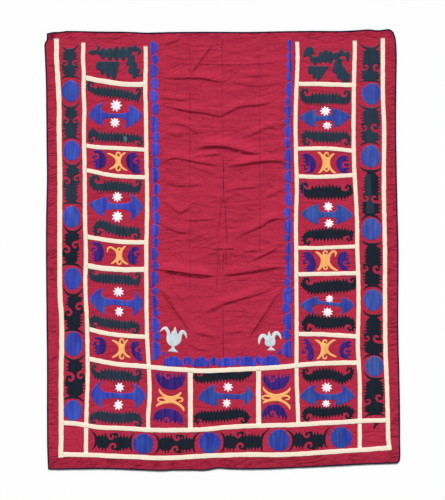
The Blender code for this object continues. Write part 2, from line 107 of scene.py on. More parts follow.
CROSSES = {
    "tape_cross_upper": Tape(4.6, ((88.6, 358.7), (95, 360.0), (102, 361.5), (114, 363.7), (126, 365.1),
        (138, 365.8), (162, 368.2), (186, 369.9), (198, 370.8), (210, 370.7), (234, 369.6), (258, 368.5),
        (282, 367.0), (306, 364.4), (330, 363.1), (357, 362.7))),
    "tape_cross_middle": Tape(4.5, ((62.5, 422.8), (76, 423.7), (90, 426.0), (102, 427.5), (126, 428.4),
        (150, 429.9), (186, 430.1), (210, 429.0), (222, 427.6), (246, 426.1), (270, 425.4), (294, 424.8),
        (318, 423.4), (342, 422.2), (364, 420.8), (386.6, 420.2))),
    "tape_cross_lower": Tape(4.6, ((62.6, 454.4), (84, 454.8), (96, 455.1), (120, 456.3), (144, 457.3),
        (156, 458.0), (180, 457.4), (204, 456.0), (228, 455.1), (252, 454.5), (276, 454.8), (300, 453.9),
        (324, 452.3), (348, 450.7), (372, 449.2), (391.6, 447.5))),
}
RUNGS = {
    "rung_left_1": Tape(4.9, ((85.6, 77.9), (90, 78.8), (99, 80.7), (108, 82.1), (117, 83.5), (126, 84.5),
        (144.4, 84.6))),
    "rung_left_2": Tape(4.1, ((86.0, 145.7), (90, 146.3), (99, 147.4), (117, 148.2), (135, 149.3),
        (145.0, 149.9))),
    "rung_left_3": Tape(4.0, ((86.2, 170.3), (90, 171.1), (99, 172.9), (108, 174.9), (126, 176.7),
        (145.2, 177.4))),
    "rung_left_4": Tape(4.3, ((86.8, 236.6), (92, 237.8), (110, 240.6), (128, 242.3), (145.3, 242.4))),
    "rung_left_5": Tape(5.2, ((87.2, 265.6), (92, 266.5), (101, 268.1), (110, 268.9), (128, 269.8),
        (145.0, 269.4))),
    "rung_left_6": Tape(4.3, ((88.8, 329.0), (92, 329.9), (101, 332.4), (119, 335.2), (137, 336.4),
        (145.6, 336.8))),
    "rung_right_1": Tape(4.3, ((298.4, 84.0), (302, 84.1), (320, 84.3), (347, 85.1), (352.6, 85.3))),
    "rung_right_2": Tape(3.9, ((297.6, 149.0), (302, 148.8), (320, 148.4), (338, 149.2), (347, 150.3),
        (352.4, 150.9))),
    "rung_right_3": Tape(4.0, ((297.8, 176.4), (302, 176.6), (320, 177.0), (347, 175.6), (353.2, 175.2))),
    "rung_right_4": Tape(3.7, ((297.6, 247.8), (302, 247.8), (320, 247.9), (347, 246.9), (355.8, 246.5))),
    "rung_right_5": Tape(4.1, ((297.8, 274.4), (302, 274.3), (347, 273.4), (356.6, 273.2))),
    "rung_right_6": Tape(4.4, ((298.0, 334.0), (302, 334.1), (320, 334.3), (347, 335.9), (356.4, 336.4))),
    "divider_left": Tape(4.9, ((190.5, 371.6), (190.5, 400), (190.6, 428.6))),
    "divider_right": Tape(4.9, ((258.7, 369.9), (258.6, 400), (258.8, 424.2))),
}
# Where a cross tape steps up over an upright, how high it steps and how far the step reaches to each side
CROSSINGS = ((147.7, 366.9), (296.7, 365.4), (86.4, 425.4), (359.8, 421.1))
CROSSING_RISE = 1.3 * MM
CROSSING_REACH = 3.4
CROSSING_SLOPE = 1.6
CROSSING_HALF = 6
# A tape's section: across as a share of half its width, height as a share of its rise
TAPE_PROFILE = (
    (-1.0, 0.0), (-1.0, 0.76), (-0.88, 0.94), (-0.64, 0.86), (-0.4, 1.0),
    (0.4, 1.0), (0.64, 0.86), (0.88, 0.94), (1.0, 0.76), (1.0, 0.0),
)
TAPE_STEP = 1.3

# Folds of the field. The line follows a fold's steep side, height is in millimetres, steep is the width
# of that side and gentle the width of the other. A fold's steep side faces down the chart.
Fold = namedtuple("Fold", "height steep gentle line")
FOLDS = (
    Fold(3.5, 4, 9, ((162, 46), (172, 42.5), (182, 38.5))),
    Fold(5.0, 2, 6, ((189.6, 76.9), (197, 67), (205, 56), (214.7, 42.5))),
    Fold(2.5, 4, 7, ((163, 55), (175, 58), (187, 60))),
    Fold(2.5, 2, 6, ((190, 62.3), (221.7, 65.3), (263.7, 64), (285.9, 60))),
    Fold(6.0, 2.5, 9, ((155, 79.5), (180, 78.8), (200.7, 78.7), (215.8, 81.6), (231, 82.8))),
    Fold(3.0, 2.5, 7, ((232, 78.7), (245, 77.5), (263.7, 75.8), (284.7, 77))),
    Fold(4.0, 4, 8, ((226, 82), (242.7, 85), (260, 86.8), (284.7, 84.5))),
    Fold(5.0, 3, 8, ((155, 97.7), (175, 99.7), (190, 102))),
    Fold(7.0, 3, 10, ((158, 104.8), (175, 109), (190, 112), (205, 113.7), (221.7, 117), (232, 112))),
    Fold(7.0, 3, 10, ((214, 117.5), (228, 113), (242.7, 106.7), (259, 105.5), (283.5, 99.7))),
    Fold(5.0, 2.5, 8, ((164, 123.5), (181, 125), (190, 129), (199.5, 136))),
    Fold(4.0, 4, 7, ((163, 131), (172, 135), (178.5, 136), (185.5, 134.7))),
    Fold(6.0, 3, 9, ((244, 139), (256.7, 133.5), (268, 128), (283.5, 130))),
    Fold(12.0, 3, 11, ((194, 151), (205, 147.5), (221.7, 147), (235.7, 150), (249.7, 153.4), (270, 156))),
    Fold(7.0, 3, 9, ((158, 165), (173.8, 159), (189, 161), (207.7, 165), (224, 167))),
    Fold(5.0, 2, 5, ((191, 157), (210, 156), (222, 154))),
    Fold(9.5, 3, 9, ((222, 167.6), (242.7, 165), (256.7, 162.7), (277.7, 161.5), (289, 164.5))),
    Fold(3.5, 4, 7, ((194, 169), (204, 171), (217, 176))),
    Fold(5.0, 4, 9, ((164, 181.5), (178.5, 186.6), (192, 186), (207, 184.7))),
    Fold(4.5, 3, 8, ((222, 193), (239, 189), (266, 187))),
    Fold(4.5, 3, 8, ((264, 199), (276, 193.5), (287, 187.5))),
    Fold(6.0, 2.5, 8, ((162, 199.5), (172, 208), (180.5, 215.5))),
    Fold(6.0, 2.5, 8, ((178, 215.5), (186, 210.5), (194, 203))),
    Fold(5.5, 3, 9, ((156, 222), (173.3, 230.7), (192, 234.6))),
    Fold(2.5, 2, 5, ((184, 220.9), (200, 220.4), (218, 219.5))),
    Fold(3.0, 2, 5, ((174, 239.5), (184, 243.5))),
    Fold(8.0, 3, 11, ((231, 242), (247.3, 233), (263.4, 225.8), (273, 220), (290, 219))),
    Fold(3.0, 2, 5, ((208, 250), (222, 249.5), (236, 250))),
    Fold(4.0, 2.5, 6, ((240, 252.5), (257, 251), (274, 248.6))),
    Fold(6.5, 2, 7, ((252, 261.5), (263.4, 256), (281, 248))),
    Fold(12.5, 2.5, 11, ((150, 268.6), (165, 270.8), (177, 272.7), (191.8, 275), (206, 276.2),
        (220, 276.4))),
    Fold(8.5, 3.5, 11, ((218, 276.6), (231, 275), (248.6, 272.7), (270.8, 269), (292, 267.4))),
    Fold(4.0, 1.6, 4, ((217.0, 290), (217.4, 276), (218.6, 262), (217.6, 246))),
    Fold(8.5, 2.5, 9, ((155, 285), (163, 293), (169.6, 301), (177, 314.6), (187, 327))),
    Fold(4.5, 4, 8, ((160, 284.5), (174.5, 294.9), (186, 304))),
    Fold(8.0, 3, 10, ((198, 316), (214, 309.7), (221.4, 305.3), (236, 301), (259.7, 294), (284, 282.6))),
    Fold(6.0, 2, 7, ((286, 285), (277, 296), (268, 311), (258, 327), (245, 341.5))),
    Fold(4.0, 4, 8, ((191, 332.4), (205.4, 335.6), (219, 341))),
    Fold(3.5, 3, 7, ((187, 343), (199, 349.8), (216, 351.8))),
    Fold(3.5, 4, 7, ((223, 335.4), (234, 333), (246, 330))),
    Fold(3.5, 3, 6, ((238, 353), (242, 348), (246, 342.5))),
)
FOLD_SHARE = 0.85
END_TAPER = 0.28
STEEP_SHARE = 0.75

# Small folds scattered over parts of the cloth: the part's box, how many, their height in millimetres,
# their length, and how far each may turn from level, in degrees
SmallFolds = namedtuple("SmallFolds", "left right top bottom count height length turn")
SMALL_FOLDS = (
    SmallFolds(156, 290, 38, 130, 54, (0.6, 1.9), (14, 46), 12),
    SmallFolds(156, 290, 130, 210, 42, (0.7, 2.2), (12, 44), 16),
    SmallFolds(156, 290, 205, 300, 52, (0.7, 2.2), (12, 44), 22),
    SmallFolds(156, 290, 295, 354, 30, (0.6, 2.0), (12, 36), 38),
    SmallFolds(88, 144, 44, 420, 60, (0.3, 0.8), (8, 26), 30),
    SmallFolds(300, 354, 44, 420, 56, (0.3, 0.8), (8, 26), 30),
    SmallFolds(150, 292, 374, 424, 22, (0.3, 0.8), (8, 22), 30),
)

# Low waves: height in metres, size across and down, and the noise's seed. Puckers are in the border only.
Wave = namedtuple("Wave", "height across down seed")
SWELL = Wave(0.8 * MM, 26, 11, 3)
RIPPLE = Wave(0.35 * MM, 9, 4, 4)
PUCKER = Wave(0.8 * MM, 14.0, 3.4, 5)
BORDER_WIDTH = 12.5
FIELD = (150.0, 294.0, 36.0, 361.0)
FIELD_FADE = 6.0

# Steps of the cloth's mesh, as from, to and step, and how many of them the underside takes at once
ACROSS_STEPS = (
    (45.0, 58.0, 1.0), (58.0, 150.0, 4.0), (150.0, 296.0, 1.9), (296.0, 386.0, 4.0), (386.0, 400.0, 1.0),
)
DOWN_STEPS = ((31.0, 362.0, 0.66), (362.0, 456.0, 1.6), (456.0, 470.0, 0.9))
COARSER = 4
# The cloth's size as a share of the outline, so that it ends inside the binding
CLOTH_SHARE = 0.9985

# Painted shade: thin dark lines painted along the sharp creases, along the lines where the cloth lay folded
# in storage, and over the ruck at the top left corner, standing in for shadow too fine for the mesh: both
# ends and darkness
Crease = namedtuple("Crease", "x1 y1 x2 y2 depth")
CREASE_SHADE_LINES = (
    Crease(189.6, 36, 189.7, 78, 0.8), Crease(189.8, 76, 190.2, 196, 0.75),
    Crease(190.2, 194, 190.4, 302, 0.85), Crease(222.0, 36, 222.4, 78, 1.0),
    Crease(222.4, 76, 223.0, 150, 0.6), Crease(223.3, 153, 223.9, 206, 1.5),
    Crease(259.0, 46, 259.6, 80, 0.8), Crease(259.6, 78, 260.0, 300, 0.75),
    Crease(223.0, 302, 223.6, 366, 1.2), Crease(222.4, 194, 217.2, 242, 1.1),
    Crease(224.4, 196, 227.4, 246, 1.3), Crease(226.0, 198, 226.6, 236, 0.6),
    Crease(218.2, 240, 216.8, 290, 1.3), Crease(223.8, 250, 222.8, 276, 1.1),
    Crease(219.8, 244, 219.4, 274, 0.8), Crease(225.6, 246, 227.0, 268, 0.8),
    Crease(189.4, 77, 213.8, 43.2, 1.5), Crease(178.9, 79, 175.0, 98, 0.7),
    Crease(158.6, 48.6, 182.4, 38.8, 1.0), Crease(187.6, 127.4, 200.4, 136.4, 0.8),
    Crease(271.8, 123.4, 288, 125.4, 1.5), Crease(190, 157.2, 221.4, 153.8, 1.0),
    Crease(162, 162.4, 178.6, 157, 1.0), Crease(265.8, 180.6, 276.2, 190.4, 0.6),
    Crease(231.2, 71.6, 232.6, 80.6, 0.7), Crease(190, 221.2, 217.4, 219.8, 1.1),
    Crease(190.8, 247.4, 214.6, 248.2, 0.8), Crease(224.4, 248.6, 235, 249.3, 1.8),
    Crease(212, 249.4, 224, 248.8, 1.3), Crease(254.8, 260.4, 286.6, 242.8, 1.1),
    Crease(157.6, 269.8, 216, 276.4, 1.6), Crease(221, 275.8, 285, 270, 0.8),
    Crease(276.6, 296.4, 248, 339.4, 2.0), Crease(160, 290.6, 188.4, 328.4, 1.3),
    Crease(182.6, 323.4, 189, 329.6, 2.2), Crease(88, 38.9, 130, 38.5, 1.3),
    Crease(176, 64.4, 236, 64.8, 0.6), Crease(229, 335, 243, 331.6, 0.8),
    Crease(158, 104.4, 176, 102.4, 0.7), Crease(240, 139, 262, 129.8, 0.7),
    Crease(44.8, 43, 55.2, 33.8, 2.2), Crease(47, 45.8, 54.6, 39.4, 1.0),
    Crease(45.4, 38.8, 54.6, 34.6, 2.4), Crease(46.0, 41.4, 57.0, 35.6, 1.8),
    Crease(48.4, 36.2, 54.4, 34.8, 1.8), Crease(46.4, 52, 53, 48.6, 0.9), Crease(50, 39.6, 55.6, 37.2, 1.2),
    Crease(387.6, 450, 391.6, 420, 0.8), Crease(98, 462.6, 104, 459.6, 0.9),
    Crease(119, 463.6, 129, 461.2, 0.9),
)
CREASE_HALF_WIDTH = 0.0019

# Wrinkles in the crimson weave: length and spacing in metres, turn in degrees, width of the line in the
# noise, height in metres, how much painted shade darkens the line, and whether they are in the border strips
# only
Wrinkle = namedtuple("Wrinkle", "length spacing turn width height darkening border")
WRINKLES = (
    Wrinkle(0.36, 0.050, 3, 0.085, 0.0011, 0.10, False),
    Wrinkle(0.22, 0.036, -24, 0.075, 0.0009, 0.08, False),
    Wrinkle(0.16, 0.030, 38, 0.07, 0.0007, 0.07, False),
    Wrinkle(0.120, 0.030, -8, 0.09, 0.0018, 0.32, True),
    Wrinkle(0.080, 0.022, -26, 0.09, 0.0012, 0.20, True),
)
# Border strips painted a little darker, partly their own duller dye and partly painted shade, most along the
# bottom where the cloth turns away from the light: axis, where the change starts and ends on the chart, tone
# beyond it
BORDER_TONE_AND_SHADE = (
    (0, 60.0, 55.0, 0.95), (0, 383.5, 388.0, 0.93), (1, 43.0, 37.0, 0.96), (1, 450.0, 459.0, 0.80),
)

# Colours as seen in even light, sRGB 0 to 255
CRIMSON = (186, 42, 70)
CREAM = (255, 239, 217)
BINDING_NAVY = (38, 22, 50)
BLUE_LEFT = (54, 74, 174)
BLUE_BOTTOM = (45, 66, 158)
BLUE_RIGHT = (58, 82, 164)
BLUE_AXE_LEFT = (54, 70, 172)
BLUE_AXE_RIGHT = (50, 73, 158)
BLUE_VINE = (58, 66, 184)
TEAL = (36, 50, 66)
BLACK_GREEN = (20, 29, 42)
TOP_TEAL = (37, 57, 74)
PURPLE = (54, 30, 116)
ORANGE = (255, 182, 108)
WHITE = (246, 243, 250)
PALE = (206, 220, 224)
WORN = (88, 112, 124)
# Painted shade colour at the bottom of a sharp crease, and the floor's colour, both linear
CREASE_SHADE_DARK = (0.02, 0.002, 0.006, 1)
FLOOR_WHITE = (0.99, 0.99, 0.99, 1)

# Grains of the materials: size across and along in metres, and the noise's detail
FLOSS_STRANDS = (0.011, 0.16, 3.0)
FLOSS_PATCHES = (0.05, 0.12, 2.0)
FLOSS_THREADS = (0.0016, 0.03, 1.0)
FLOSS_TIES = (0.004, 0.0025, 1.0)
WEAVE_SLUBS = (0.07, 0.007, 3.0)
WEAVE_WARP = (0.003, 0.06, 2.0)
# Noise that makes the painted crease shade uneven along each line
CREASE_SHADE_BREAKUP = (0.03, 0.05, 2.0)
THREAD_DEPTH = 0.0007
TIE_DEPTH = 0.0004
FLOSS_ROUGHNESS, FLOSS_SHINE = 0.6, 0.16
WEAVE_ROUGHNESS, WEAVE_SHINE = 0.85, 0.12
# How far the blue floss wanders between violet and teal
MOTTLE = 0.22
MOTTLE_BOTTOM = 0.3

# Light: what a level white surface shows, the share of it that comes from the key light, and that light's
# softness, elevation and turn in degrees
LIGHT_TOTAL = 1.0
KEY_SHARE = 0.66
KEY_SOFTNESS, KEY_ELEVATION, KEY_TURN = 14, 31, 6

# The stage and the camera: metres for the floor, millimetres for the camera's sensor and lens
FLOOR_HALF = 30.0
FLOOR_DROP = 0.0005
SENSOR_HEIGHT = 36.0
LENS = 100.0


# Small helpers

def smooth(value):
    value = np.clip(value, 0.0, 1.0)
    return value * value * (3 - 2 * value)


def smooth_line(points, steps):
    """A Catmull-Rom curve through the points, with so many steps between each pair."""
    points = np.asarray(points, dtype=float)
    ends = (2 * points[:1] - points[1:2], points, 2 * points[-1:] - points[-2:-1])
    padded = np.concatenate(ends)
    line = []
    for a, b, c, d in zip(padded, padded[1:], padded[2:], padded[3:]):
        for step in range(steps):
            t = step / steps
            line.append(0.5 * (2 * b + (c - a) * t + (2 * a - 5 * b + 4 * c - d) * t ** 2
                               + (3 * b - a - 3 * c + d) * t ** 3))
    line.append(points[-1])
    return np.array(line)


def resample(line, count):
    """The same line with evenly spaced points, and anything else its rows carry."""
    steps = np.linalg.norm(np.diff(line[:, :2], axis=0), axis=1)
    length = np.concatenate(([0.0], np.cumsum(steps)))
    at = np.linspace(0, length[-1], count)
    return np.stack([np.interp(at, length, column) for column in line.T], axis=1)


def wobble(x, y, size_x, size_y, seed):
    """Smooth noise from -1 to 1, with bumps of about the given sizes."""
    lattice = np.random.default_rng(seed).uniform(-1, 1, (97, 97))
    u, v = np.asarray(x) / size_x + 500.0, np.asarray(y) / size_y + 500.0
    i, j = np.floor(u).astype(int), np.floor(v).astype(int)
    s, t = smooth(u - i), smooth(v - j)
    i, j, i2, j2 = i % 97, j % 97, (i + 1) % 97, (j + 1) % 97
    upper = lattice[j, i] * (1 - s) + lattice[j, i2] * s
    lower = lattice[j2, i] * (1 - s) + lattice[j2, i2] * s
    return upper * (1 - t) + lower * t


def to_metres(x, y):
    return (np.asarray(x) - CHART_MIDDLE[0]) * SQUARE, (CHART_MIDDLE[1] - np.asarray(y)) * SQUARE


# The lie of the cloth

def along_line(x, y, line):
    """For each place, the distance to a line, its side (1 above it) and the share along it."""
    best = np.full(np.shape(x), np.inf)
    side = np.zeros(np.shape(x))
    share = np.zeros(np.shape(x))
    for index, ((x0, y0), (x1, y1)) in enumerate(zip(line, line[1:])):
        dx, dy = x1 - x0, y1 - y0
        t = np.clip(((x - x0) * dx + (y - y0) * dy) / (dx * dx + dy * dy), 0, 1)
        off_x, off_y = x - x0 - t * dx, y - y0 - t * dy
        away = np.hypot(off_x, off_y)
        nearer = away < best
        up_x, up_y = (dy, -dx) if dx > 0 else (-dy, dx)
        best = np.where(nearer, away, best)
        side = np.where(nearer, np.sign(off_x * up_x + off_y * up_y), side)
        share = np.where(nearer, (index + t) / (len(line) - 1), share)
    return best, side, share


def fold_relief(x, y):
    """Height of the folds, in metres."""
    total = np.zeros(np.shape(x))
    for fold, line, (low_x, low_y), (high_x, high_y) in FOLD_LINES:
        near = (x > low_x) & (x < high_x) & (y > low_y) & (y < high_y)
        if not near.any():
            continue
        away, side, share = along_line(x[near], y[near], line)
        signed = away * side
        steep = fold.steep * STEEP_SHARE
        half = steep / 2
        rising = smooth((signed + half) / steep)
        falling = smooth(1 - (signed - half) / fold.gentle)
        ends = smooth(np.minimum(share, 1 - share) / END_TAPER)
        total[near] += (FOLD_SHARE * fold.height * MM * rising * falling * ends) ** 3
    return np.cbrt(total)


def edge_distance(x, y):
    """Rough distance inward from the outline, in squares."""
    return np.minimum.reduce([
        x - np.interp(y, LEFT_CURVE[:, 1], LEFT_CURVE[:, 0]),
        np.interp(y, RIGHT_CURVE[::-1, 1], RIGHT_CURVE[::-1, 0]) - x,
        y - np.interp(x, TOP_CURVE[::-1, 0], TOP_CURVE[::-1, 1]),
        np.interp(x, BOTTOM_CURVE[:, 0], BOTTOM_CURVE[:, 1]) - y])


def field_share(x, y):
    left, right, top, bottom = FIELD
    inside = np.minimum.reduce([x - left, right - x, y - top, bottom - y])
    return smooth(inside / FIELD_FADE)


def ground(x, y):
    """Height of the cloth's upper face above the floor, in metres, at places on the chart."""
    x, y = np.asarray(x, dtype=float), np.asarray(y, dtype=float)
    in_field = field_share(x, y)
    swell = SWELL.height * (1 + wobble(x, y, *SWELL[1:])) * in_field
    ripple = RIPPLE.height * wobble(x, y, *RIPPLE[1:]) * (0.4 + 0.6 * in_field)
    edge = edge_distance(x, y)
    in_border = smooth((BORDER_WIDTH - edge) / 2) * (1 - in_field)
    wave = wobble(x * 0.8 + y * 0.3, y - x * 0.3, *PUCKER[1:])
    pucker = PUCKER.height * (1 - 1.6 * np.abs(wave)) * in_border
    lift = EDGE_LIFT * smooth(1 - edge / 4)
    height = CLOTH_THICKNESS + CLOTH_LIFT + fold_relief(x, y) + swell + ripple + pucker + lift
    return np.maximum(height, CLOTH_THICKNESS + LEAST_LIFT)


def small_folds():
    """Scattered small folds, the same ones every time."""
    rng = np.random.default_rng(61)
    folds = []
    for part in SMALL_FOLDS:
        for _ in range(part.count):
            x, y = rng.uniform(part.left, part.right), rng.uniform(part.top, part.bottom)
            half, turn = rng.uniform(*part.length) / 2, math.radians(rng.normal(0, part.turn))
            bend = rng.uniform(-0.2, 0.2) * half
            across, down = half * math.cos(turn), half * math.sin(turn)
            line = ((x - across, y - down), (x, y + bend), (x + across, y + down))
            folds.append(Fold(rng.uniform(*part.height), rng.uniform(2.2, 3.4), rng.uniform(3.0, 6.0), line))
    return folds


def fold_lines():
    """Each fold with its smooth line and the box within its reach."""
    lines = []
    for fold in FOLDS + tuple(small_folds()):
        line = smooth_line(fold.line, 4)
        reach = fold.gentle + fold.steep + 1
        lines.append((fold, line, line.min(axis=0) - reach, line.max(axis=0) + reach))
    return lines


EDGES = (LEFT_EDGE, BOTTOM_EDGE, RIGHT_EDGE, TOP_EDGE)
LEFT_CURVE, BOTTOM_CURVE, RIGHT_CURVE, TOP_CURVE = (resample(smooth_line(edge, 8), 400) for edge in EDGES)
FOLD_LINES = fold_lines()


# Materials

def linear(colour):
    return tuple((c / 255 / 12.92) if c < 10.3 else ((c / 255 + 0.055) / 1.055) ** 2.4 for c in colour)


class Nodes:
    """A material and short calls that add and link its nodes."""

    def __init__(self, name):
        self.material = bpy.data.materials.new(name)
        self.material.use_nodes = True
        self.tree = self.material.node_tree
        self.shader = self.tree.nodes["Principled BSDF"]

    def fill(self, node, inputs):
        """Set or link a node's inputs, named with _ for a space, or numbered as _0."""
        for key, value in inputs.items():
            socket = node.inputs[int(key[1:])] if key[0] == "_" else node.inputs[key.replace("_", " ")]
            if isinstance(value, bpy.types.NodeSocket):
                self.tree.links.new(value, socket)
            else:
                socket.default_value = value

    def add(self, kind, settings=(), **inputs):
        node = self.tree.nodes.new(kind)
        for key, value in settings:
            setattr(node, key, value)
        self.fill(node, inputs)
        return node.outputs

    def finish(self, colour, roughness, shine, **relief):
        """The material with this surface."""
        self.fill(self.shader, dict(relief, Base_Color=colour, Roughness=roughness, Specular_IOR_Level=shine))
        return self.material

    def stretched_noise(self, size_x, size_y, detail):
        """Noise whose grains measure about the given sizes in metres."""
        place = self.add("ShaderNodeTexCoord")["Object"]
        scaled = self.add("ShaderNodeMapping", Vector=place, Scale=(1 / size_x, 1 / size_y, 1 / size_x))[0]
        return self.add("ShaderNodeTexNoise", Vector=scaled, Scale=1.0, Detail=detail)[0]

    def mix(self, factor, one, two, blend="MIX"):
        settings = (("data_type", "RGBA"), ("blend_type", blend))
        return self.add("ShaderNodeMix", settings, _0=factor, _6=one, _7=two)[2]

    def tinted(self, colour, tone):
        return self.mix(1.0, colour, tone, "MULTIPLY")

    def shade(self, value, low, high, dark, light):
        """Colour from dark to light as the value goes from low to high."""
        return self.mix(self.ramp(value, low, high, 0.0, 1.0), (*dark, 1), (*light, 1))

    def math(self, operation, *values):
        inputs = {"_%d" % k: value for k, value in enumerate(values)}
        return self.add("ShaderNodeMath", (("operation", operation),), **inputs)[0]

    def ramp(self, value, low, high, start, end):
        limits = {"From_Min": low, "From_Max": high, "To_Min": start, "To_Max": end}
        return self.add("ShaderNodeMapRange", Value=value, **limits)[0]

    def wrinkle(self, wrinkle, seed):
        """Thin broken lines, 1 on the line and 0 away from it."""
        place = self.add("ShaderNodeTexCoord")["Object"]
        turn = (0.0, 0.0, math.radians(wrinkle.turn))
        turned = self.add("ShaderNodeMapping", Vector=place, Rotation=turn)[0]
        size = (1 / wrinkle.length, 1 / wrinkle.spacing, 1 / wrinkle.length)
        shift = (seed * 3.7, seed * 5.1, seed)
        moved = self.add("ShaderNodeMapping", Vector=turned, Scale=size, Location=shift)[0]
        noise = self.add("ShaderNodeTexNoise", Vector=moved, Scale=1.0, Detail=1.0, Distortion=0.25)[0]
        away = self.math("ABSOLUTE", self.math("SUBTRACT", noise, 0.5))
        line = self.ramp(away, 0.0, wrinkle.width, 1.0, 0.0)
        patches = self.stretched_noise(wrinkle.length * 0.6, wrinkle.length * 0.4, 1.0)
        return self.math("MULTIPLY", line, self.ramp(patches, 0.42, 0.58, 0.1, 1.0))

    def bump(self, value, depth, normal=None):
        links = {"Normal": normal} if normal else {}
        return self.add("ShaderNodeBump", Height=value, Distance=depth, Strength=1.0, **links)[0]


def scaled(colour, factor):
    return tuple(min(1.0, channel * factor) for channel in colour)


def floss_material(name, colour, contrast=0.3, mottle=0.0):
    """Silk or cotton floss laid in upright threads, each a little lighter or darker than the next.

    mottle is how far the floss wanders in patches between violet and teal, as unevenly dyed thread does."""
    nodes = Nodes(name)
    base = linear(colour)
    strands = nodes.stretched_noise(*FLOSS_STRANDS)
    laid = nodes.shade(strands, 0.32, 0.68, scaled(base, 1 - contrast), scaled(base, 1 + contrast))
    patches = nodes.stretched_noise(*FLOSS_PATCHES)
    violet = (0.9, 0.9 - mottle, 0.9 + 0.4 * mottle)
    tealer = (1.1 + 0.6 * mottle, 1.1 + mottle, 1.1 - 0.4 * mottle)
    toned = nodes.tinted(laid, nodes.shade(patches, 0.3, 0.7, violet, tealer))
    threads = nodes.bump(nodes.stretched_noise(*FLOSS_THREADS), THREAD_DEPTH)
    relief = nodes.bump(nodes.stretched_noise(*FLOSS_TIES), TIE_DEPTH, threads)
    return nodes.finish(toned, FLOSS_ROUGHNESS, FLOSS_SHINE, Normal=relief)


def woven_material(name, colour, pitch, contrast, creases=False):
    """Plain weave: crossing threads as fine relief, slightly uneven in tone."""
    nodes = Nodes(name)
    base = linear(colour)
    slubs = nodes.stretched_noise(*WEAVE_SLUBS)
    toned = nodes.shade(slubs, 0.3, 0.7, scaled(base, 1 - contrast), scaled(base, 1 + contrast))
    streaks = nodes.stretched_noise(*WEAVE_WARP)
    colour_out = nodes.tinted(toned, nodes.ramp(streaks, 0.3, 0.7, 1 - contrast, 1 + contrast))
    place = nodes.add("ShaderNodeTexCoord")["Object"]
    relief = None
    if creases:
        # Painted shade along the sharp creases and the wrinkles, border strips painted darker, and the
        # wrinkles' bump relief
        colour_out = paint_crease_shade(nodes, place, colour_out)
        colour_out, relief = wrinkled(nodes, place, colour_out)
    warp, weft = (
        nodes.add("ShaderNodeTexWave", (("bands_direction", axis),), Vector=place, Scale=1 / pitch / 2)[0]
        for axis in "XY")
    weave = nodes.bump(nodes.math("MULTIPLY", warp, weft), pitch * 0.25, relief)
    return nodes.finish(colour_out, WEAVE_ROUGHNESS, WEAVE_SHINE, Normal=weave)


def wrinkled(nodes, place, colour):
    """The colour with painted shade along the wrinkles, the border strips painted darker (partly painted
    shade, partly their own duller dye), and the wrinkles' relief.
    """
    axes = nodes.add("ShaderNodeSeparateXYZ", Vector=place)
    tone = in_border = None
    for axis, start, end, beyond in BORDER_TONE_AND_SHADE:
        low, high = (float(to_metres(at, at)[axis]) for at in (start, end))
        part = nodes.ramp(axes[axis], low, high, 1.0, beyond)
        reach = nodes.ramp(axes[axis], low, high, 0.0, 1.0)
        tone = part if tone is None else nodes.math("MINIMUM", tone, part)
        in_border = reach if in_border is None else nodes.math("MAXIMUM", in_border, reach)
    inside = nodes.math("SUBTRACT", 1.0, in_border)
    relief = None
    for seed, wrinkle in enumerate(WRINKLES, 1):
        line = nodes.math("MULTIPLY", nodes.wrinkle(wrinkle, seed), in_border if wrinkle.border else inside)
        relief = nodes.bump(line, -wrinkle.height, relief)
        # Painted shade: each wrinkle's line is painted darker, standing in for the shadow in the wrinkle
        tone = nodes.math("MULTIPLY", tone, nodes.ramp(line, 0.0, 1.0, 1.0, 1.0 - wrinkle.darkening))
    return nodes.tinted(colour, tone), relief


def paint_crease_shade(nodes, place, colour):
    """The colour with painted shade: a thin dark line along each sharp crease, fading at its ends."""
    total = None
    for crease in CREASE_SHADE_LINES:
        (x1, x2), (y1, y2) = to_metres((crease.x1, crease.x2), (crease.y1, crease.y2))
        turn, half = math.atan2(y2 - y1, x2 - x1), math.hypot(x2 - x1, y2 - y1) / 2
        x, y = (x1 + x2) / 2, (y1 + y2) / 2
        back = (-x * math.cos(turn) - y * math.sin(turn), x * math.sin(turn) - y * math.cos(turn), 0.0)
        along = nodes.add("ShaderNodeMapping", Vector=place, Rotation=(0.0, 0.0, -turn), Location=back)[0]
        length, away = (
            nodes.math("ABSOLUTE", axis) for axis in nodes.add("ShaderNodeSeparateXYZ", Vector=along)[:2])
        line = nodes.ramp(away, 0.3 * CREASE_HALF_WIDTH, 1.8 * CREASE_HALF_WIDTH, 0.5 * crease.depth, 0.0)
        line = nodes.math("MULTIPLY", line, nodes.ramp(length, half * 0.6, half, 1.0, 0.0))
        total = line if total is None else nodes.math("MAXIMUM", total, line)
    # Noise breaks up the painted crease shade so it comes and goes along each line
    shade_breakup = nodes.ramp(nodes.stretched_noise(*CREASE_SHADE_BREAKUP), 0.3, 0.7, 0.4, 1.3)
    return nodes.mix(nodes.math("MULTIPLY", total, shade_breakup), colour, CREASE_SHADE_DARK)


# Making and placing meshes

def place_piece(name, vertices, faces, material, replaced=None):
    mesh = bpy.data.meshes.new(name)
    mesh.from_pydata(vertices, [], faces)
    mesh.validate()
    mesh.update()
    mesh.shade_smooth()
    mesh.materials.append(material)
    item = bpy.data.objects.new(name, mesh)
    bpy.context.scene.collection.objects.link(item)
    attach(item, "root")
    if replaced:
        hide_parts(replaced)
    return item


def grid_faces(rows, columns, first=0, flip=False):
    faces = []
    for row in range(rows - 1):
        for column in range(columns - 1):
            a = first + row * columns + column
            face = (a, a + columns, a + columns + 1, a + 1)
            faces.append(face[::-1] if flip else face)
    return faces


def zoned(parts):
    """Places from 0 to 1 along an edge, finer where a part asks for a smaller step."""
    start, places = parts[0][0], []
    span = parts[-1][1] - start
    for low, high, step in parts:
        count = max(1, round((high - low) / step / COARSER)) * COARSER
        places.extend((low + (high - low) * k / count - start) / span for k in range(count))
    return np.array(places + [1.0])


def read_curve(curve, shares):
    at = np.linspace(0, 1, len(curve))
    return np.stack([np.interp(shares, at, curve[:, axis]) for axis in (0, 1)], axis=1)


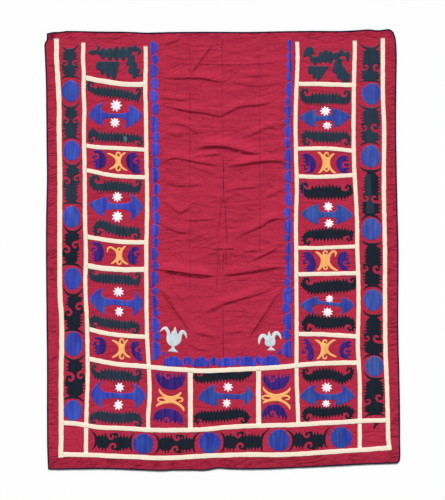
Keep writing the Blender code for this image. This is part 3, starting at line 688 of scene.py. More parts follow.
def cloth_plan():
    """The cloth's mesh on the chart: a grid stretched between the four sides of the outline."""
    across, down = zoned(ACROSS_STEPS), zoned(DOWN_STEPS)
    top = read_curve(TOP_CURVE[::-1], across)[None, :, :]
    bottom = read_curve(BOTTOM_CURVE, across)[None, :, :]
    left = read_curve(LEFT_CURVE, down)[:, None, :]
    right = read_curve(RIGHT_CURVE[::-1], down)[:, None, :]
    u, v = across[None, :, None], down[:, None, None]
    corners = ((1 - u) * (1 - v) * top[:, :1] + u * (1 - v) * top[:, -1:]
               + (1 - u) * v * bottom[:, :1] + u * v * bottom[:, -1:])
    plan = (1 - v) * top + v * bottom + (1 - u) * left + u * right - corners
    centre = np.array(((LEFT_CURVE[:, 0].mean() + RIGHT_CURVE[:, 0].mean()) / 2, CHART_MIDDLE[1]))
    return centre + (plan - centre) * CLOTH_SHARE


def make_ground_cloth():
    """The crimson cloth: a fine upper face with every fold, and a coarser underside on the same folds."""
    plan = cloth_plan()
    rows, columns = plan.shape[:2]
    height = ground(plan[..., 0], plan[..., 1])
    x, y = to_metres(plan[..., 0], plan[..., 1])
    upper = np.stack((x, y, height), axis=-1).reshape(-1, 3)
    below = np.stack((x, y, height - CLOTH_THICKNESS), axis=-1)[::COARSER, ::COARSER]
    low_rows, low_columns = below.shape[:2]
    first = len(upper)
    faces = grid_faces(rows, columns) + grid_faces(low_rows, low_columns, first, flip=True)

    def rim(start, step, low_start, low_step, count, flip):
        """Close one side between the upper face and the underside."""
        for k in range(count - 1):
            face = [start + step * (COARSER * k + fine) for fine in range(COARSER + 1)]
            face += [first + low_start + low_step * (k + 1), first + low_start + low_step * k]
            faces.append(tuple(face[::-1] if flip else face))

    rim(0, 1, 0, 1, low_columns, False)
    rim((rows - 1) * columns, 1, (low_rows - 1) * low_columns, 1, low_columns, True)
    rim(0, columns, 0, low_columns, low_rows, True)
    rim(columns - 1, columns, low_columns - 1, low_columns, low_rows, False)
    vertices = np.concatenate((upper, below.reshape(-1, 3)))
    crimson = woven_material("crimson_cotton_weave", CRIMSON, 0.0009, 0.09, creases=True)
    return place_piece("crimson_cloth", vertices.tolist(), faces, crimson, "ground_cloth")


def steps_ahead(line, closed=False):
    """Unit steps ahead along a line on the chart."""
    ahead = np.roll(line, -1, axis=0) - np.roll(line, 1, axis=0) if closed else np.gradient(line, axis=0)
    return ahead / np.linalg.norm(ahead, axis=1, keepdims=True)


def make_binding():
    """The dark strip folded over the edge, a flat roll that follows the outline."""
    ring = np.concatenate([resample(smooth_line(side, 8), 260)[:-1] for side in EDGES])
    ahead = steps_ahead(ring, closed=True)
    inward = np.stack((ahead[:, 1], -ahead[:, 0]), axis=1)
    middle = ring + inward * (BINDING_WIDTH / 2 / SQUARE)
    uneven = 1 + 0.07 * wobble(np.arange(len(ring)), np.zeros(len(ring)), 9, 1, 21)
    lifted = np.maximum(ground(middle[:, 0], middle[:, 1]) - BINDING_SINK, 0)
    turns, count = 12, len(ring)
    vertices, faces = [], []
    for turn in range(turns):
        angle = 2 * math.pi * turn / turns
        flat_x = math.copysign(abs(math.cos(angle)) ** 0.7, math.cos(angle))
        flat_z = math.copysign(abs(math.sin(angle)) ** 0.8, math.sin(angle))
        place = middle - inward * (flat_x * BINDING_WIDTH / 2 / SQUARE * uneven)[:, None]
        x, y = to_metres(place[:, 0], place[:, 1])
        vertices.append(np.stack((x, y, lifted + BINDING_HEIGHT / 2 * (1 + flat_z)), axis=1))
        here, there = turn * count, (turn + 1) % turns * count
        for k in range(count):
            after = (k + 1) % count
            faces.append((here + k, here + after, there + after, there + k))
    navy = woven_material("binding_weave", BINDING_NAVY, 0.0008, 0.12)
    vertices = np.concatenate(vertices).tolist()
    return place_piece("edge_binding", vertices, faces, navy, "binding")


def crossing_lift(x, y):
    """How far a cross tape is lifted where it steps over an upright."""
    lift = np.zeros(np.shape(x))
    for at_x, at_y in CROSSINGS:
        step = smooth((CROSSING_REACH - np.abs(x - at_x)) / CROSSING_SLOPE)
        lift = np.maximum(lift, step * (np.abs(y - at_y) < CROSSING_HALF))
    return lift * CROSSING_RISE


def make_tape(name, tape, material, seed, over=False):
    """A tape stitched down along both sides: its sides dip at the stitches and its middle stands up."""
    line = smooth_line(tape.line, 6)
    length = np.linalg.norm(np.diff(line, axis=0), axis=1).sum()
    count = max(6, round(length / TAPE_STEP))
    line = resample(line, count)
    ahead = steps_ahead(line)
    side = np.stack((-ahead[:, 1], ahead[:, 0]), axis=1)
    steps = np.arange(count)
    rows = []
    for across, rise in TAPE_PROFILE:
        edge_seed = seed * 2 + (across > 0)
        uneven = 0.16 * wobble(steps, steps * 0, 3.1, 1, edge_seed)
        uneven = uneven + 0.1 * wobble(steps, steps * 0, 1.3, 1, edge_seed + 900)
        place = line + side * (across * (tape.width / 2 + uneven))[:, None]
        z = ground(place[:, 0], place[:, 1]) + TAPE_RISE * rise - TAPE_SINK * (rise == 0)
        if over:
            z = z + crossing_lift(place[:, 0], place[:, 1])
        x, y = to_metres(place[:, 0], place[:, 1])
        rows.append(np.stack((x, y, z), axis=1))
    spans = len(rows)
    last = (spans - 1) * count
    faces = grid_faces(spans, count, flip=True)
    faces += [(k, last + k, last + k + 1, k + 1) for k in range(count - 1)]
    faces.append(tuple(row * count for row in reversed(range(spans))))
    faces.append(tuple(row * count + count - 1 for row in range(spans)))
    return place_piece(name + "_cloth", np.concatenate(rows).tolist(), faces, material, name)


# Shapes of embroidery, as signed distances in squares, negative inside

class Shape:
    def __init__(self, measure, low, high):
        self.measure, self.low, self.high = measure, np.array(low, float), np.array(high, float)

    def __or__(self, other):
        return Shape(lambda x, y: np.minimum(self.measure(x, y), other.measure(x, y)),
                     np.minimum(self.low, other.low), np.maximum(self.high, other.high))

    def __and__(self, other):
        return Shape(lambda x, y: np.maximum(self.measure(x, y), other.measure(x, y)), self.low, self.high)

    def __sub__(self, other):
        return Shape(lambda x, y: np.maximum(self.measure(x, y), -other.measure(x, y)), self.low, self.high)


def from_segment(x, y, start, end):
    """Distance to a straight line between two places, and the share along it."""
    (x0, y0), (x1, y1) = start, end
    dx, dy = x1 - x0, y1 - y0
    t = np.clip(((x - x0) * dx + (y - y0) * dy) / max(dx * dx + dy * dy, 1e-9), 0, 1)
    return np.hypot(x - x0 - t * dx, y - y0 - t * dy), t


def stroke(points, radii):
    """A thick line whose radius changes evenly between its points."""
    points = np.asarray(points, dtype=float)
    radii = np.interp(np.linspace(0, 1, len(points)), np.linspace(0, 1, len(radii)), radii)

    def measure(x, y):
        best = np.full(x.shape, np.inf)
        for start, end, r0, r1 in zip(points, points[1:], radii, radii[1:]):
            away, t = from_segment(x, y, start, end)
            best = np.minimum(best, away - (r0 + (r1 - r0) * t))
        return best
    return Shape(measure, points.min(axis=0) - radii.max(), points.max(axis=0) + radii.max())


def curve(points, steps=4):
    """A smooth stroke through rows of x, y and radius."""
    line = smooth_line(points, steps)
    return stroke(line[:, :2], line[:, 2])


def polygon(points):
    points = np.asarray(points, dtype=float)

    def measure(x, y):
        best = np.full(x.shape, np.inf)
        inside = np.zeros(x.shape, dtype=bool)
        for (x0, y0), (x1, y1) in zip(points, np.roll(points, -1, axis=0)):
            best = np.minimum(best, from_segment(x, y, (x0, y0), (x1, y1))[0])
            if y1 != y0:
                inside ^= ((y0 > y) != (y1 > y)) & (x < (x1 - x0) * (y - y0) / (y1 - y0) + x0)
        return np.where(inside, -best, best)
    return Shape(measure, points.min(axis=0), points.max(axis=0))


def bezier(*controls, steps=8):
    """Places on the curve with these control points."""
    t = np.linspace(0, 1, steps + 1)[:, None]
    level = [np.asarray(control, dtype=float) for control in controls]
    while len(level) > 1:
        level = [a * (1 - t) + b * t for a, b in zip(level, level[1:])]
    return level[0]


def arc(centre, radius, start, end, steps=8):
    """Places on an arc, angles in degrees, anticlockwise from the right as seen on the cloth."""
    turn = np.radians(np.linspace(start, end, steps + 1))
    radius_x, radius_y = radius if np.ndim(radius) else (radius, radius)
    return np.stack((centre[0] + radius_x * np.cos(turn), centre[1] - radius_y * np.sin(turn)), axis=1)


def join(shapes):
    total = shapes[0]
    for shape in shapes[1:]:
        total = total | shape
    return total


def spike(spot, out, length, half, lean=0.0):
    """One pointed stitch: out is the way it points."""
    spot, out = np.asarray(spot, dtype=float), np.asarray(out, dtype=float)
    side = np.array((-out[1], out[0]))
    tip = spot + out * length + side * lean
    return stroke((spot - out * half * 0.9, spot + out * 0.1, tip), (half, half, 0.3))


def oval(x, top, bottom, half):
    """An upright pointed oval."""
    middle, reach = (top + bottom) / 2, (bottom - top) / 2
    turns = np.radians(np.arange(0, 360, 20))
    return polygon([(x + half * math.sin(turn), middle - reach * math.cos(turn)) for turn in turns])


def make_embroidery(name, shapes, material, rise=FLOSS_RISE):
    """One raised mesh of all the given shapes, laid on the cloth."""
    vertices, faces = [], []
    for shape in shapes:
        first = len(vertices)
        plan, cells, depth = cut_shape(shape)
        x, y = plan[:, 0], plan[:, 1]
        plump = 1 - (1 - np.clip(depth / PLUMP_REACH, 0, 1)) ** 2
        ridges = 0.12 * wobble(x, y, 0.9, 9, 77) + 0.08 * wobble(x, y, 0.6, 5, 78)
        z = ground(x, y) + rise * plump * (1 + ridges) - FLOSS_SINK * (1 - plump)
        metres = to_metres(x, y)
        vertices.extend(zip(metres[0].tolist(), metres[1].tolist(), z.tolist()))
        faces.extend(tuple(first + corner for corner in cell) for cell in cells)
    return place_piece(name, vertices, faces, material)


# Size of the embroidery's cells, and how far inside its edge a motif reaches its full height
CELL = 0.5
PLUMP_REACH = 0.6


def cut_shape(shape):
    """Marching squares over a shape's box: its plan points, its cells and each point's depth inside it."""
    low, high = shape.low - CELL * 1.5, shape.high + CELL * 1.5
    columns, rows = (np.ceil((high - low) / CELL)).astype(int) + 1
    xs, ys = low[0] + np.arange(columns) * CELL, low[1] + np.arange(rows) * CELL
    grid_x, grid_y = np.meshgrid(xs, ys)
    value = shape.measure(grid_x, grid_y)
    inside = value < 0
    number = np.full(value.shape, -1)
    number[inside] = np.arange(inside.sum())
    plan = [*zip(grid_x[inside], grid_y[inside])]
    depth = [*(-value[inside])]
    known = {}

    def crossing(a, b):
        """The number of the point where the edge passes between two grid points."""
        key = (a, b) if a < b else (b, a)
        if key not in known:
            share = value[a] / (value[a] - value[b])
            known[key] = len(plan)
            plan.append(tuple(grid[a] + (grid[b] - grid[a]) * share for grid in (grid_x, grid_y)))
            depth.append(0.0)
        return known[key]

    cells = []
    corners_in = inside[:-1, :-1].astype(int) + inside[1:, :-1] + inside[1:, 1:] + inside[:-1, 1:]
    for row, column in zip(*np.nonzero(corners_in)):
        ring = ((row, column), (row + 1, column), (row + 1, column + 1), (row, column + 1))
        if corners_in[row, column] == 4:
            cells.append([number[corner] for corner in ring])
            continue
        cell = []
        for here, after in zip(ring, ring[1:] + ring[:1]):
            if inside[here]:
                cell.append(number[here])
            if inside[here] != inside[after]:
                cell.append(crossing(here, after))
        if len(cell) >= 3:
            cells.append(cell)
    return np.array(plan), cells, np.array(depth)


# Toothed bars

TOOTH_PITCH = 2.9
TOOTH_LENGTH = 3.1
TOOTH_HALF = 1.5
BAR_POINTS = 60

# A curl's horn and its groove, as x inward, y towards the horn's rise and radius, about the curl's knob
HORN = (
    (0.0, 0.0, 1.2), (1.0, 1.7, 1.25), (-0.7, 3.4, 1.4), (-4.0, 3.5, 1.8), (-6.2, 0.8, 2.2),
    (-5.6, -2.8, 3.0),
)
GROOVE = (
    (4.6, 2.6, 1.5), (3.2, 0.2, 1.7), (1.2, -2.0, 1.25), (-1.2, -2.0, 0.95), (-2.6, -0.4, 0.85),
    (-2.3, 1.0, 0.7), (-1.3, 1.5, 0.45),
)

# line: x, y and half width of the bar without its teeth; left and right: the curl's x, y and size, then
# the x, y and radius of the bare gap beside it
Bar = namedtuple("Bar", "up line left right")
BARS_TEAL = (
    Bar(1, ((90.0, 87.6, 2.4), (95, 90.4, 2.8), (100, 91.5, 3.2), (110, 92.4, 3.3), (120, 93.5, 3.2),
        (130, 95.6, 3.1), (138, 97.2, 2.9)), (92.6, 84.8, 0.64, 95.4, 86.4, 1.7),
        (137.4, 90.8, 0.46, 135.0, 92.2, 2.1)),
    Bar(-1, ((90.6, 135.4, 3.0), (93.4, 133.4, 3.4), (98.5, 136.4, 2.9), (110, 137.2, 3.1),
        (120, 137.4, 3.0), (130, 138.4, 2.9), (137, 138.6, 2.6), (140.6, 139.8, 2.0)),
        (92.6, 139.4, 0.46, 93.8, 137.6, 1.2), (138.2, 142.6, 0.52, 136.4, 141.8, 1.5)),
    Bar(1, ((92.6, 183.6, 2.8), (97, 186.4, 3.3), (104, 186.6, 3.5), (112, 186.2, 3.8), (120, 186.8, 3.7),
        (130, 188.2, 3.5), (138, 188.8, 3.0)), (98.2, 180.4, 1.0, 101.6, 180.2, 2.5),
        (137.0, 182.8, 0.52, 134.8, 184.2, 2.2)),
    Bar(-1, ((95.6, 228.4, 2.4), (98, 225.2, 3.2), (104, 225.6, 4.0), (110, 227.8, 4.1), (118, 230.4, 4.0),
        (126, 231.6, 3.8), (132, 231.6, 3.5), (137.6, 231.6, 2.6)), (100.2, 231.0, 0.76, 103.0, 230.8, 1.4),
        (135.0, 235.2, 0.62, 132.8, 235.8, 1.5)),
    Bar(1, ((91.6, 275.4, 2.4), (96, 277.6, 3.2), (104, 278.4, 3.6), (112, 278.8, 3.6), (120, 279.0, 3.4),
        (130, 280.4, 3.3), (138, 281.4, 2.8)), (93.8, 272.4, 0.5, 96.6, 273.0, 1.8),
        (136.4, 275.8, 0.52, 134.4, 277.2, 1.6)),
    Bar(-1, ((91.8, 321.4, 2.8), (95, 319.8, 3.0), (101, 322.0, 3.2), (110, 323.6, 3.2), (118, 324.6, 3.0),
        (126, 325.8, 3.1), (131, 325.6, 3.5), (137.4, 327.2, 3.0)), (95.0, 325.2, 0.48, 96.4, 323.8, 1.2),
        (133.6, 330.2, 0.64, 131.4, 330.8, 1.5)),
    Bar(1, ((93.6, 370.6, 2.4), (96, 374.0, 2.8), (101, 375.0, 3.4), (107, 374.4, 4.0), (116, 375.4, 4.0),
        (125, 375.8, 3.9), (131, 377.0, 3.6), (138, 377.8, 3.2)), (95.6, 367.8, 0.46, 98.8, 368.2, 2.2),
        (137.0, 372.8, 0.56, 134.8, 373.6, 2.0)),
    Bar(-1, ((92.6, 417.8, 2.8), (98, 415.6, 3.4), (104, 416.6, 3.9), (112, 417.8, 3.9), (122, 418, 3.7),
        (132, 417.2, 3.8), (138.6, 418.2, 3.2)), (94.8, 420.8, 0.45, 96.6, 420.4, 1.3),
        (136.4, 423.0, 0.64, 134.4, 423.0, 1.6)),
    Bar(1, ((303, 97.4, 2.6), (307, 99.2, 3.4), (314, 98.8, 3.8), (322, 98.8, 3.9), (330, 98.6, 3.7),
        (337, 98.8, 3.8), (343, 100, 3.4), (348, 99.0, 2.6)), (307.0, 92.8, 0.76, 309.8, 93.2, 1.9),
        (345.0, 94.0, 0.62, 342.8, 94.6, 1.9)),
    Bar(-1, ((303.8, 137.0, 2.8), (307, 134.8, 3.2), (313, 136.4, 3.8), (322, 136.8, 4.0), (332, 137, 4.0),
        (340, 136.8, 3.6), (345, 135.6, 2.8), (348.4, 138.6, 2.2)), (308.4, 141.4, 0.68, 310.8, 141.0, 1.5),
        (345.4, 142.2, 0.52, 343.2, 141.4, 2.0)),
)
BARS_BLACK = (
    Bar(1, ((303.8, 190.0, 2.8), (308, 193.0, 4.0), (316, 192.6, 4.8), (324, 192.4, 5.0), (332, 192.2, 5.1),
        (339, 192.6, 4.6), (345, 193.8, 3.0), (350.6, 191.2, 2.6)), (306.8, 186.6, 0.72, 309.2, 187.2, 1.9),
        (346.6, 188.2, 0.62, 343.8, 188.2, 2.6)),
    Bar(-1, ((304.8, 238.0, 2.4), (309, 235.0, 3.2), (316, 234.8, 4.0), (324, 234.4, 4.3), (332, 234, 4.3),
        (340, 234.2, 3.9), (346, 233.2, 3.0), (351.4, 234.0, 2.2)), (309.2, 240.8, 0.7, 311.8, 240.0, 1.5),
        (347.8, 238.0, 0.54, 345.4, 238.8, 2.2)),
    Bar(1, ((303.6, 284.0, 2.6), (307.6, 287.2, 3.2), (313, 288.2, 4.2), (320, 287.4, 4.5),
        (330, 286.6, 4.7), (340, 286, 4.8), (348, 286, 4.2), (353.4, 285.2, 3.0)),
        (308.6, 281.8, 0.74, 311.6, 282.0, 1.9), (351.4, 280.6, 0.54, 349.4, 280.8, 1.5)),
    Bar(-1, ((304.4, 323.6, 3.0), (309, 319.6, 3.8), (316, 321.4, 4.7), (324, 322.6, 4.8),
        (332, 322.6, 4.5), (340, 322, 4.3), (346, 321, 3.8), (352, 322.4, 2.8)),
        (310.0, 327.8, 0.8, 313.0, 327.8, 1.5), (349.0, 327.4, 0.64, 346.6, 327.8, 1.6)),
    Bar(1, ((304.8, 375.0, 2.4), (309, 377.2, 3.2), (316, 375.4, 4.1), (324, 374.4, 4.2), (332, 374.6, 3.9),
        (338, 377, 4.1), (343, 378.6, 3.6), (350.4, 374.8, 2.6)), (307.4, 371.6, 0.56, 310.4, 371.4, 2.3),
        (347.6, 371.0, 0.68, 344.8, 370.8, 2.1)),
    Bar(-1, ((304.8, 414.0, 2.6), (309, 410.8, 3.0), (316, 411.8, 3.5), (324, 412.4, 3.5),
        (332, 411.6, 3.4), (340, 410.6, 3.3), (346, 409.6, 3.3), (352.0, 412.2, 2.8)),
        (308.4, 417.2, 0.62, 310.6, 416.8, 1.4), (346.6, 415.4, 0.64, 344.4, 415.4, 1.4)),
    Bar(1, ((195.8, 376.4, 2.4), (199, 378.2, 3.2), (206, 377.4, 3.7), (214, 376.8, 3.7), (222, 375.8, 3.5),
        (232, 375.6, 3.1), (240, 376.4, 3.0), (246, 374.6, 2.2), (251, 372.2, 0.9)),
        (199.2, 374.6, 0.46, 201.4, 374.6, 1.4), None),
    Bar(-1, ((196.4, 418.2, 2.6), (200, 416.4, 3.2), (206, 416.4, 3.8), (214, 416.2, 3.9),
        (222, 415.6, 3.9), (230, 414.8, 3.9), (237, 413.8, 3.8), (243.4, 414.8, 3.4), (247.6, 417.6, 2.6)),
        (198.6, 420.6, 0.46, 200.4, 420.4, 1.3), (242.0, 420.2, 0.66, 239.6, 420.6, 1.5)),
)


def curl(knob, size, side, up):
    """A horn's curved tip and the groove inside its curl, with the tip turning inward."""
    def at(rows, least):
        return [(knob[0] + side * size * x, knob[1] - up * size * y, max(size * radius, least))
                for x, y, radius in rows]
    return at(HORN, 0.95), at(GROOVE, 0.5)


def horned_bar(bar, rng):
    """A toothed bar whose ends rise as horns and curl inward."""
    body = resample(smooth_line(bar.line, 6), BAR_POINTS)
    body[:, 2] -= 0.3
    rise = np.stack((np.zeros(BAR_POINTS), bar.up * body[:, 2]), axis=1)
    outer, inner = body[:, :2] + rise, body[:, :2] - rise
    shape = stroke(body[:, :2], body[:, 2])
    low, high = body[0, 0], body[-1, 0]
    backs, tips, cuts = [], [], []
    for end, side, foot in ((bar.left, 1, body[0]), (bar.right, -1, body[-1])):
        if end is None:
            continue
        x, y, size, gap_x, gap_y, gap_radius = end
        horn, groove = curl((x, y), size, side, bar.up)
        horn.append(tuple(foot))
        shape = shape | curve(horn, 3)
        backs.append((np.array((x, y)), smooth_line(horn[2:], 6)))
        tips.append(curve(horn[:3], 3))
        gap = ((gap_x, gap_y), (gap_x, gap_y - bar.up * 2.2))
        cuts += [curve(groove, 3), stroke(gap, (gap_radius, gap_radius + 0.5))]
        if side > 0:
            low = gap_x + gap_radius + 0.9
        else:
            high = gap_x - gap_radius - 0.9
    inner = inner[(inner[:, 0] > low) & (inner[:, 0] < high)]
    spikes = []
    for line, out in ((outer, (0, bar.up)), (inner, (0, -bar.up))):
        count = round((line[-1, 0] - line[0, 0]) / TOOTH_PITCH)
        for spot in resample(line, count):
            length = TOOTH_LENGTH * rng.uniform(0.85, 1.15)
            spikes.append(spike(spot, out, length, TOOTH_HALF, rng.uniform(-0.4, 0.4)))
    for centre, back in backs:
        length = np.linalg.norm(np.diff(back[:, :2], axis=0), axis=1).sum()
        for x, y, radius in resample(back, max(2, round(length / 2.5) + 1)):
            out = np.array((x, y)) - centre
            out /= np.linalg.norm(out)
            spot = np.array((x, y)) + out * radius * 0.9
            spikes.append(spike(spot, out, 2.0 * rng.uniform(0.8, 1.1), 1.0))
    return (shape | join(spikes)) - join(cuts) | join(tips)


# Double axes: left and right are the shaft's tips, the others the barbs of the four half heads

Axe = namedtuple(
    "Axe", "left upper_left lower_left right upper_right lower_right shaft_left shaft_right half")
AXES_LEFT = (
    Axe((88.4, 115), (104.6, 102.0), (104.8, 126.0), (142.8, 115.6), (127.0, 104.6), (123.8, 128.2), 115.8,
        115.6, 2.2),
    Axe((89.2, 204), (109.6, 196.8), (105.8, 216.6), (143.2, 206.5), (129.0, 193.8), (128.2, 220.8), 206.6,
        206.4, 2.9),
    Axe((89.6, 298.6), (104.6, 287.6), (107.6, 314.8), (143.6, 304), (133.2, 290.2), (131.0, 316.8), 301.8,
        303.6, 2.9),
    Axe((90.6, 394.8), (103.2, 380.2), (104.4, 408.2), (146.2, 396), (132.0, 383.0), (133.0, 408.6), 395.4,
        396.2, 2.9),
)
AXES_RIGHT = (
    Axe((299.4, 117), (317.6, 109.4), (317.2, 127.6), (350.8, 116.4), (330.4, 108), (332.2, 127.6), 118.4,
        118.0, 2.3),
    Axe((300.8, 213.6), (320.8, 203.8), (320.2, 224.8), (353.0, 215), (334.6, 203.8), (334.8, 224.4), 214.8,
        214.8, 2.6),
    Axe((300.0, 305), (319.4, 296.2), (315.4, 313.8), (354.6, 305), (340.6, 297.0), (339.8, 314.2), 302.6,
        304.6, 1.6),
    Axe((299.8, 396.6), (317.2, 384.2), (317.4, 405.0), (354.8, 396.4), (340.0, 384.6), (334.2, 405.6),
        396.8, 396.8, 2.9),
    Axe((197.6, 398.2), (217.0, 384.2), (219.6, 406.4), (253.8, 395.6), (243.8, 385.2), (243.0, 405.4),
        396.0, 396.8, 2.6),
)


def double_axe(axe):
    """Two axe heads, back to back on one shaft, with barbs that hook over it."""
    def half_head(tip, barb, middle, side, up):
        across, rise = abs(barb[0] - tip[0]), abs(barb[1] - tip[1])
        root = middle - up * axe.half
        depth = abs(root - barb[1])
        outer = bezier(tip, (tip[0] + side * across * 0.36, tip[1] - up * rise * 0.84), barb, steps=9)
        bite = bezier(barb, (barb[0] - side * depth * 0.52, barb[1] + up * depth * 0.40),
                      (barb[0] - side * depth * 0.36, root - up * 0.2),
                      (barb[0] + side * depth * 0.62, root),
                      steps=9)
        return [*outer, *bite[1:]]

    return polygon([
        *half_head(axe.left, axe.upper_left, axe.shaft_left, 1, 1),
        *half_head(axe.right, axe.upper_right, axe.shaft_right, -1, 1)[::-1],
        *half_head(axe.right, axe.lower_right, axe.shaft_right, -1, -1),
        *half_head(axe.left, axe.lower_left, axe.shaft_left, 1, -1)[::-1]])


# Stars. A ray and the dip beside it: the reach as a share of the radius, and half the width in degrees

Star = namedtuple("Star", "x y radius_x radius_y")
STARS = (
    Star(116.2, 105.8, 5.7, 5.9), Star(115.0, 122.8, 5.0, 5.0), Star(117.4, 197.0, 5.0, 5.2),
    Star(117.6, 216.8, 5.5, 5.7), Star(118.6, 292.0, 5.4, 5.0), Star(119.3, 311.8, 4.3, 5.0),
    Star(119.7, 387.5, 4.6, 4.8), Star(118.6, 405.3, 4.8, 5.2), Star(325.5, 111.3, 5.3, 4.8),
    Star(327.3, 125.8, 4.7, 4.1), Star(328.4, 206.7, 4.7, 4.9), Star(329.2, 223.6, 4.8, 4.6),
    Star(329.4, 299.0, 4.0, 4.1), Star(327.6, 312.4, 5.2, 4.9), Star(326.8, 387.6, 5.3, 4.9),
    Star(326.2, 403.7, 4.2, 3.9), Star(228.2, 387.2, 4.8, 4.7), Star(226.8, 403.3, 4.2, 4.5),
)
RAY, DIP = (1.02, 5), (0.66, 3)
LARGE_STAR = 4.9


def rayed_star(star, rng):
    """A star of eight blunt rays, or nine on a large one."""
    rays = 9 if star.radius_x > LARGE_STAR else 8
    points = []
    first = rng.uniform(0, 360)
    for ray in range(rays * 2):
        share, half_angle = DIP if ray % 2 else RAY
        size = share * rng.uniform(0.95, 1.05)
        angle = first + 360 * ray / (rays * 2) + rng.uniform(-3, 3)
        reach = (star.radius_x * size, star.radius_y * size)
        points.extend(arc((star.x, star.y), reach, angle - half_angle, angle + half_angle, 1))
    return polygon(points)


# Toothed crescents: start and end are the two horns, apex the middle of the round side, belly how far the
# toothed side bulges; gap, size and turn place the curl
Crescent = namedtuple("Crescent", "start end apex belly teeth length gap size turn")
CRESCENTS = (
    Crescent((97.0, 149.8), (99.0, 168.6), (106.5, 159.5), 3.2, 6, 2.2, (96.8, 156.2), 1.7, 1),
    Crescent((133.2, 152.6), (138.4, 174.6), (126.2, 163.0), 2.2, 7, 2.2, (136.2, 160.8), 1.8, 1),
    Crescent((96.4, 241.8), (98.0, 261.6), (104.2, 252.0), 3.4, 6, 2.2, (94.8, 248.4), 1.6, 1),
    Crescent((136.0, 246.4), (133.6, 264.6), (128.0, 255.5), 2.2, 6, 2.2, (136.2, 253.4), 1.5, 1),
    Crescent((99.0, 336.8), (100.6, 354.4), (106.6, 345.2), 4.2, 6, 2.0, (97.4, 342.2), 1.5, 1),
    Crescent((136.2, 341.2), (140.4, 361.2), (131.2, 350.0), 1.0, 7, 2.2, (137.6, 349.4), 1.5, 1),
    Crescent((304.6, 153.4), (309.2, 173.4), (315.8, 162.5), 1.0, 6, 2.6, (307.4, 168.2), 1.7, -1),
    Crescent((344.6, 155.6), (345.2, 173.4), (336.2, 163.5), 2.4, 5, 2.2, (345.0, 164.8), 2.0, 1),
    Crescent((306.0, 251.6), (309.6, 272.2), (315.9, 262.5), 1.6, 6, 2.6, (306.6, 262.6), 1.6, -1),
    Crescent((343.6, 251.6), (344.6, 270.6), (337.6, 261.0), 3.2, 6, 2.4, (345.6, 263.2), 1.6, -1),
    Crescent((304.8, 338.4), (309.2, 360.6), (313.6, 350.5), -0.6, 6, 2.8, (305.6, 351.8), 1.8, -1),
    Crescent((349.2, 340.6), (347.0, 358.8), (339.2, 349.5), 0.8, 5, 2.4, (346.4, 351.0), 1.9, 1),
    Crescent((155.4, 373.6), (185.4, 374.8), (171.0, 390.0), -2.6, 9, 3.4, (167.8, 377.0), 1.4, 1),
    Crescent((153.0, 419.0), (183.6, 422.8), (169.0, 408.2), -0.6, 8, 2.6, (166.6, 419.2), 1.5, -1),
    Crescent((263.2, 376.4), (289.8, 375.6), (276.0, 390.2), -2.2, 8, 3.6, (272.2, 379.2), 1.7, 1),
    Crescent((261.8, 417.6), (287.2, 419.6), (275.0, 403.8), -4.0, 7, 4.2, (272.8, 413.2), 1.8, -1),
)
# The curl's groove, as out from the toothed side, along it and radius, in the curl's size
CRESCENT_GROOVE = (
    (-3.0, -1.5, 0.9), (-1.4, -1.25, 0.95), (0.2, -1.15, 0.85), (1.05, -0.2, 0.8), (0.6, 0.95, 0.75),
    (-0.5, 1.0, 0.6), (-0.9, 0.4, 0.4),
)


def toothed_crescent(crescent, rng):
    """A half moon with its round side one way, and ragged points and one curl on the other."""
    start, end, apex = (np.array(p, dtype=float) for p in (crescent.start, crescent.end, crescent.apex))
    along = (end - start) / np.linalg.norm(end - start)
    out = np.array((along[1], -along[0]))
    middle, half = (start + end) / 2, (start - end) / 2
    if np.dot(apex - middle, out) < 0:
        out = -out
    bulge = apex - middle

    def toothed_side(t):
        return middle - half * math.cos(t) - out * crescent.belly * math.sin(t) ** 0.7

    turns = np.linspace(0, math.pi, 17)
    round_side = [
        middle + (half * math.cos(t) + bulge * math.sin(t) ** 0.9) * rng.uniform(0.97, 1.03) for t in turns]
    shape = polygon([*round_side, *map(toothed_side, turns[1:-1])])
    for k in range(crescent.teeth):
        spot = toothed_side(math.pi * (0.1 + 0.8 * (k + 0.5) / crescent.teeth))
        length = crescent.length * rng.uniform(0.85, 1.4)
        shape = shape | spike(spot, -out, length, 1.2, rng.uniform(-0.3, 0.7))
    gap, size = np.array(crescent.gap), crescent.size
    shape = shape | stroke((gap + out, gap - out * 0.8), (size + 1.5, size + 1.3))
    groove = [
        (*(gap + out * size * x + along * size * crescent.turn * y), radius * max(size / 1.7, 0.85))
        for x, y, radius in CRESCENT_GROOVE]
    return shape - curve(groove, 3)


# Double horns. arms: upper left, lower left, upper right and lower right, each from its tip inward, as across
# and along; half: half the waist's width; arm: the arms' radius; hooks: how far the end hooks reach

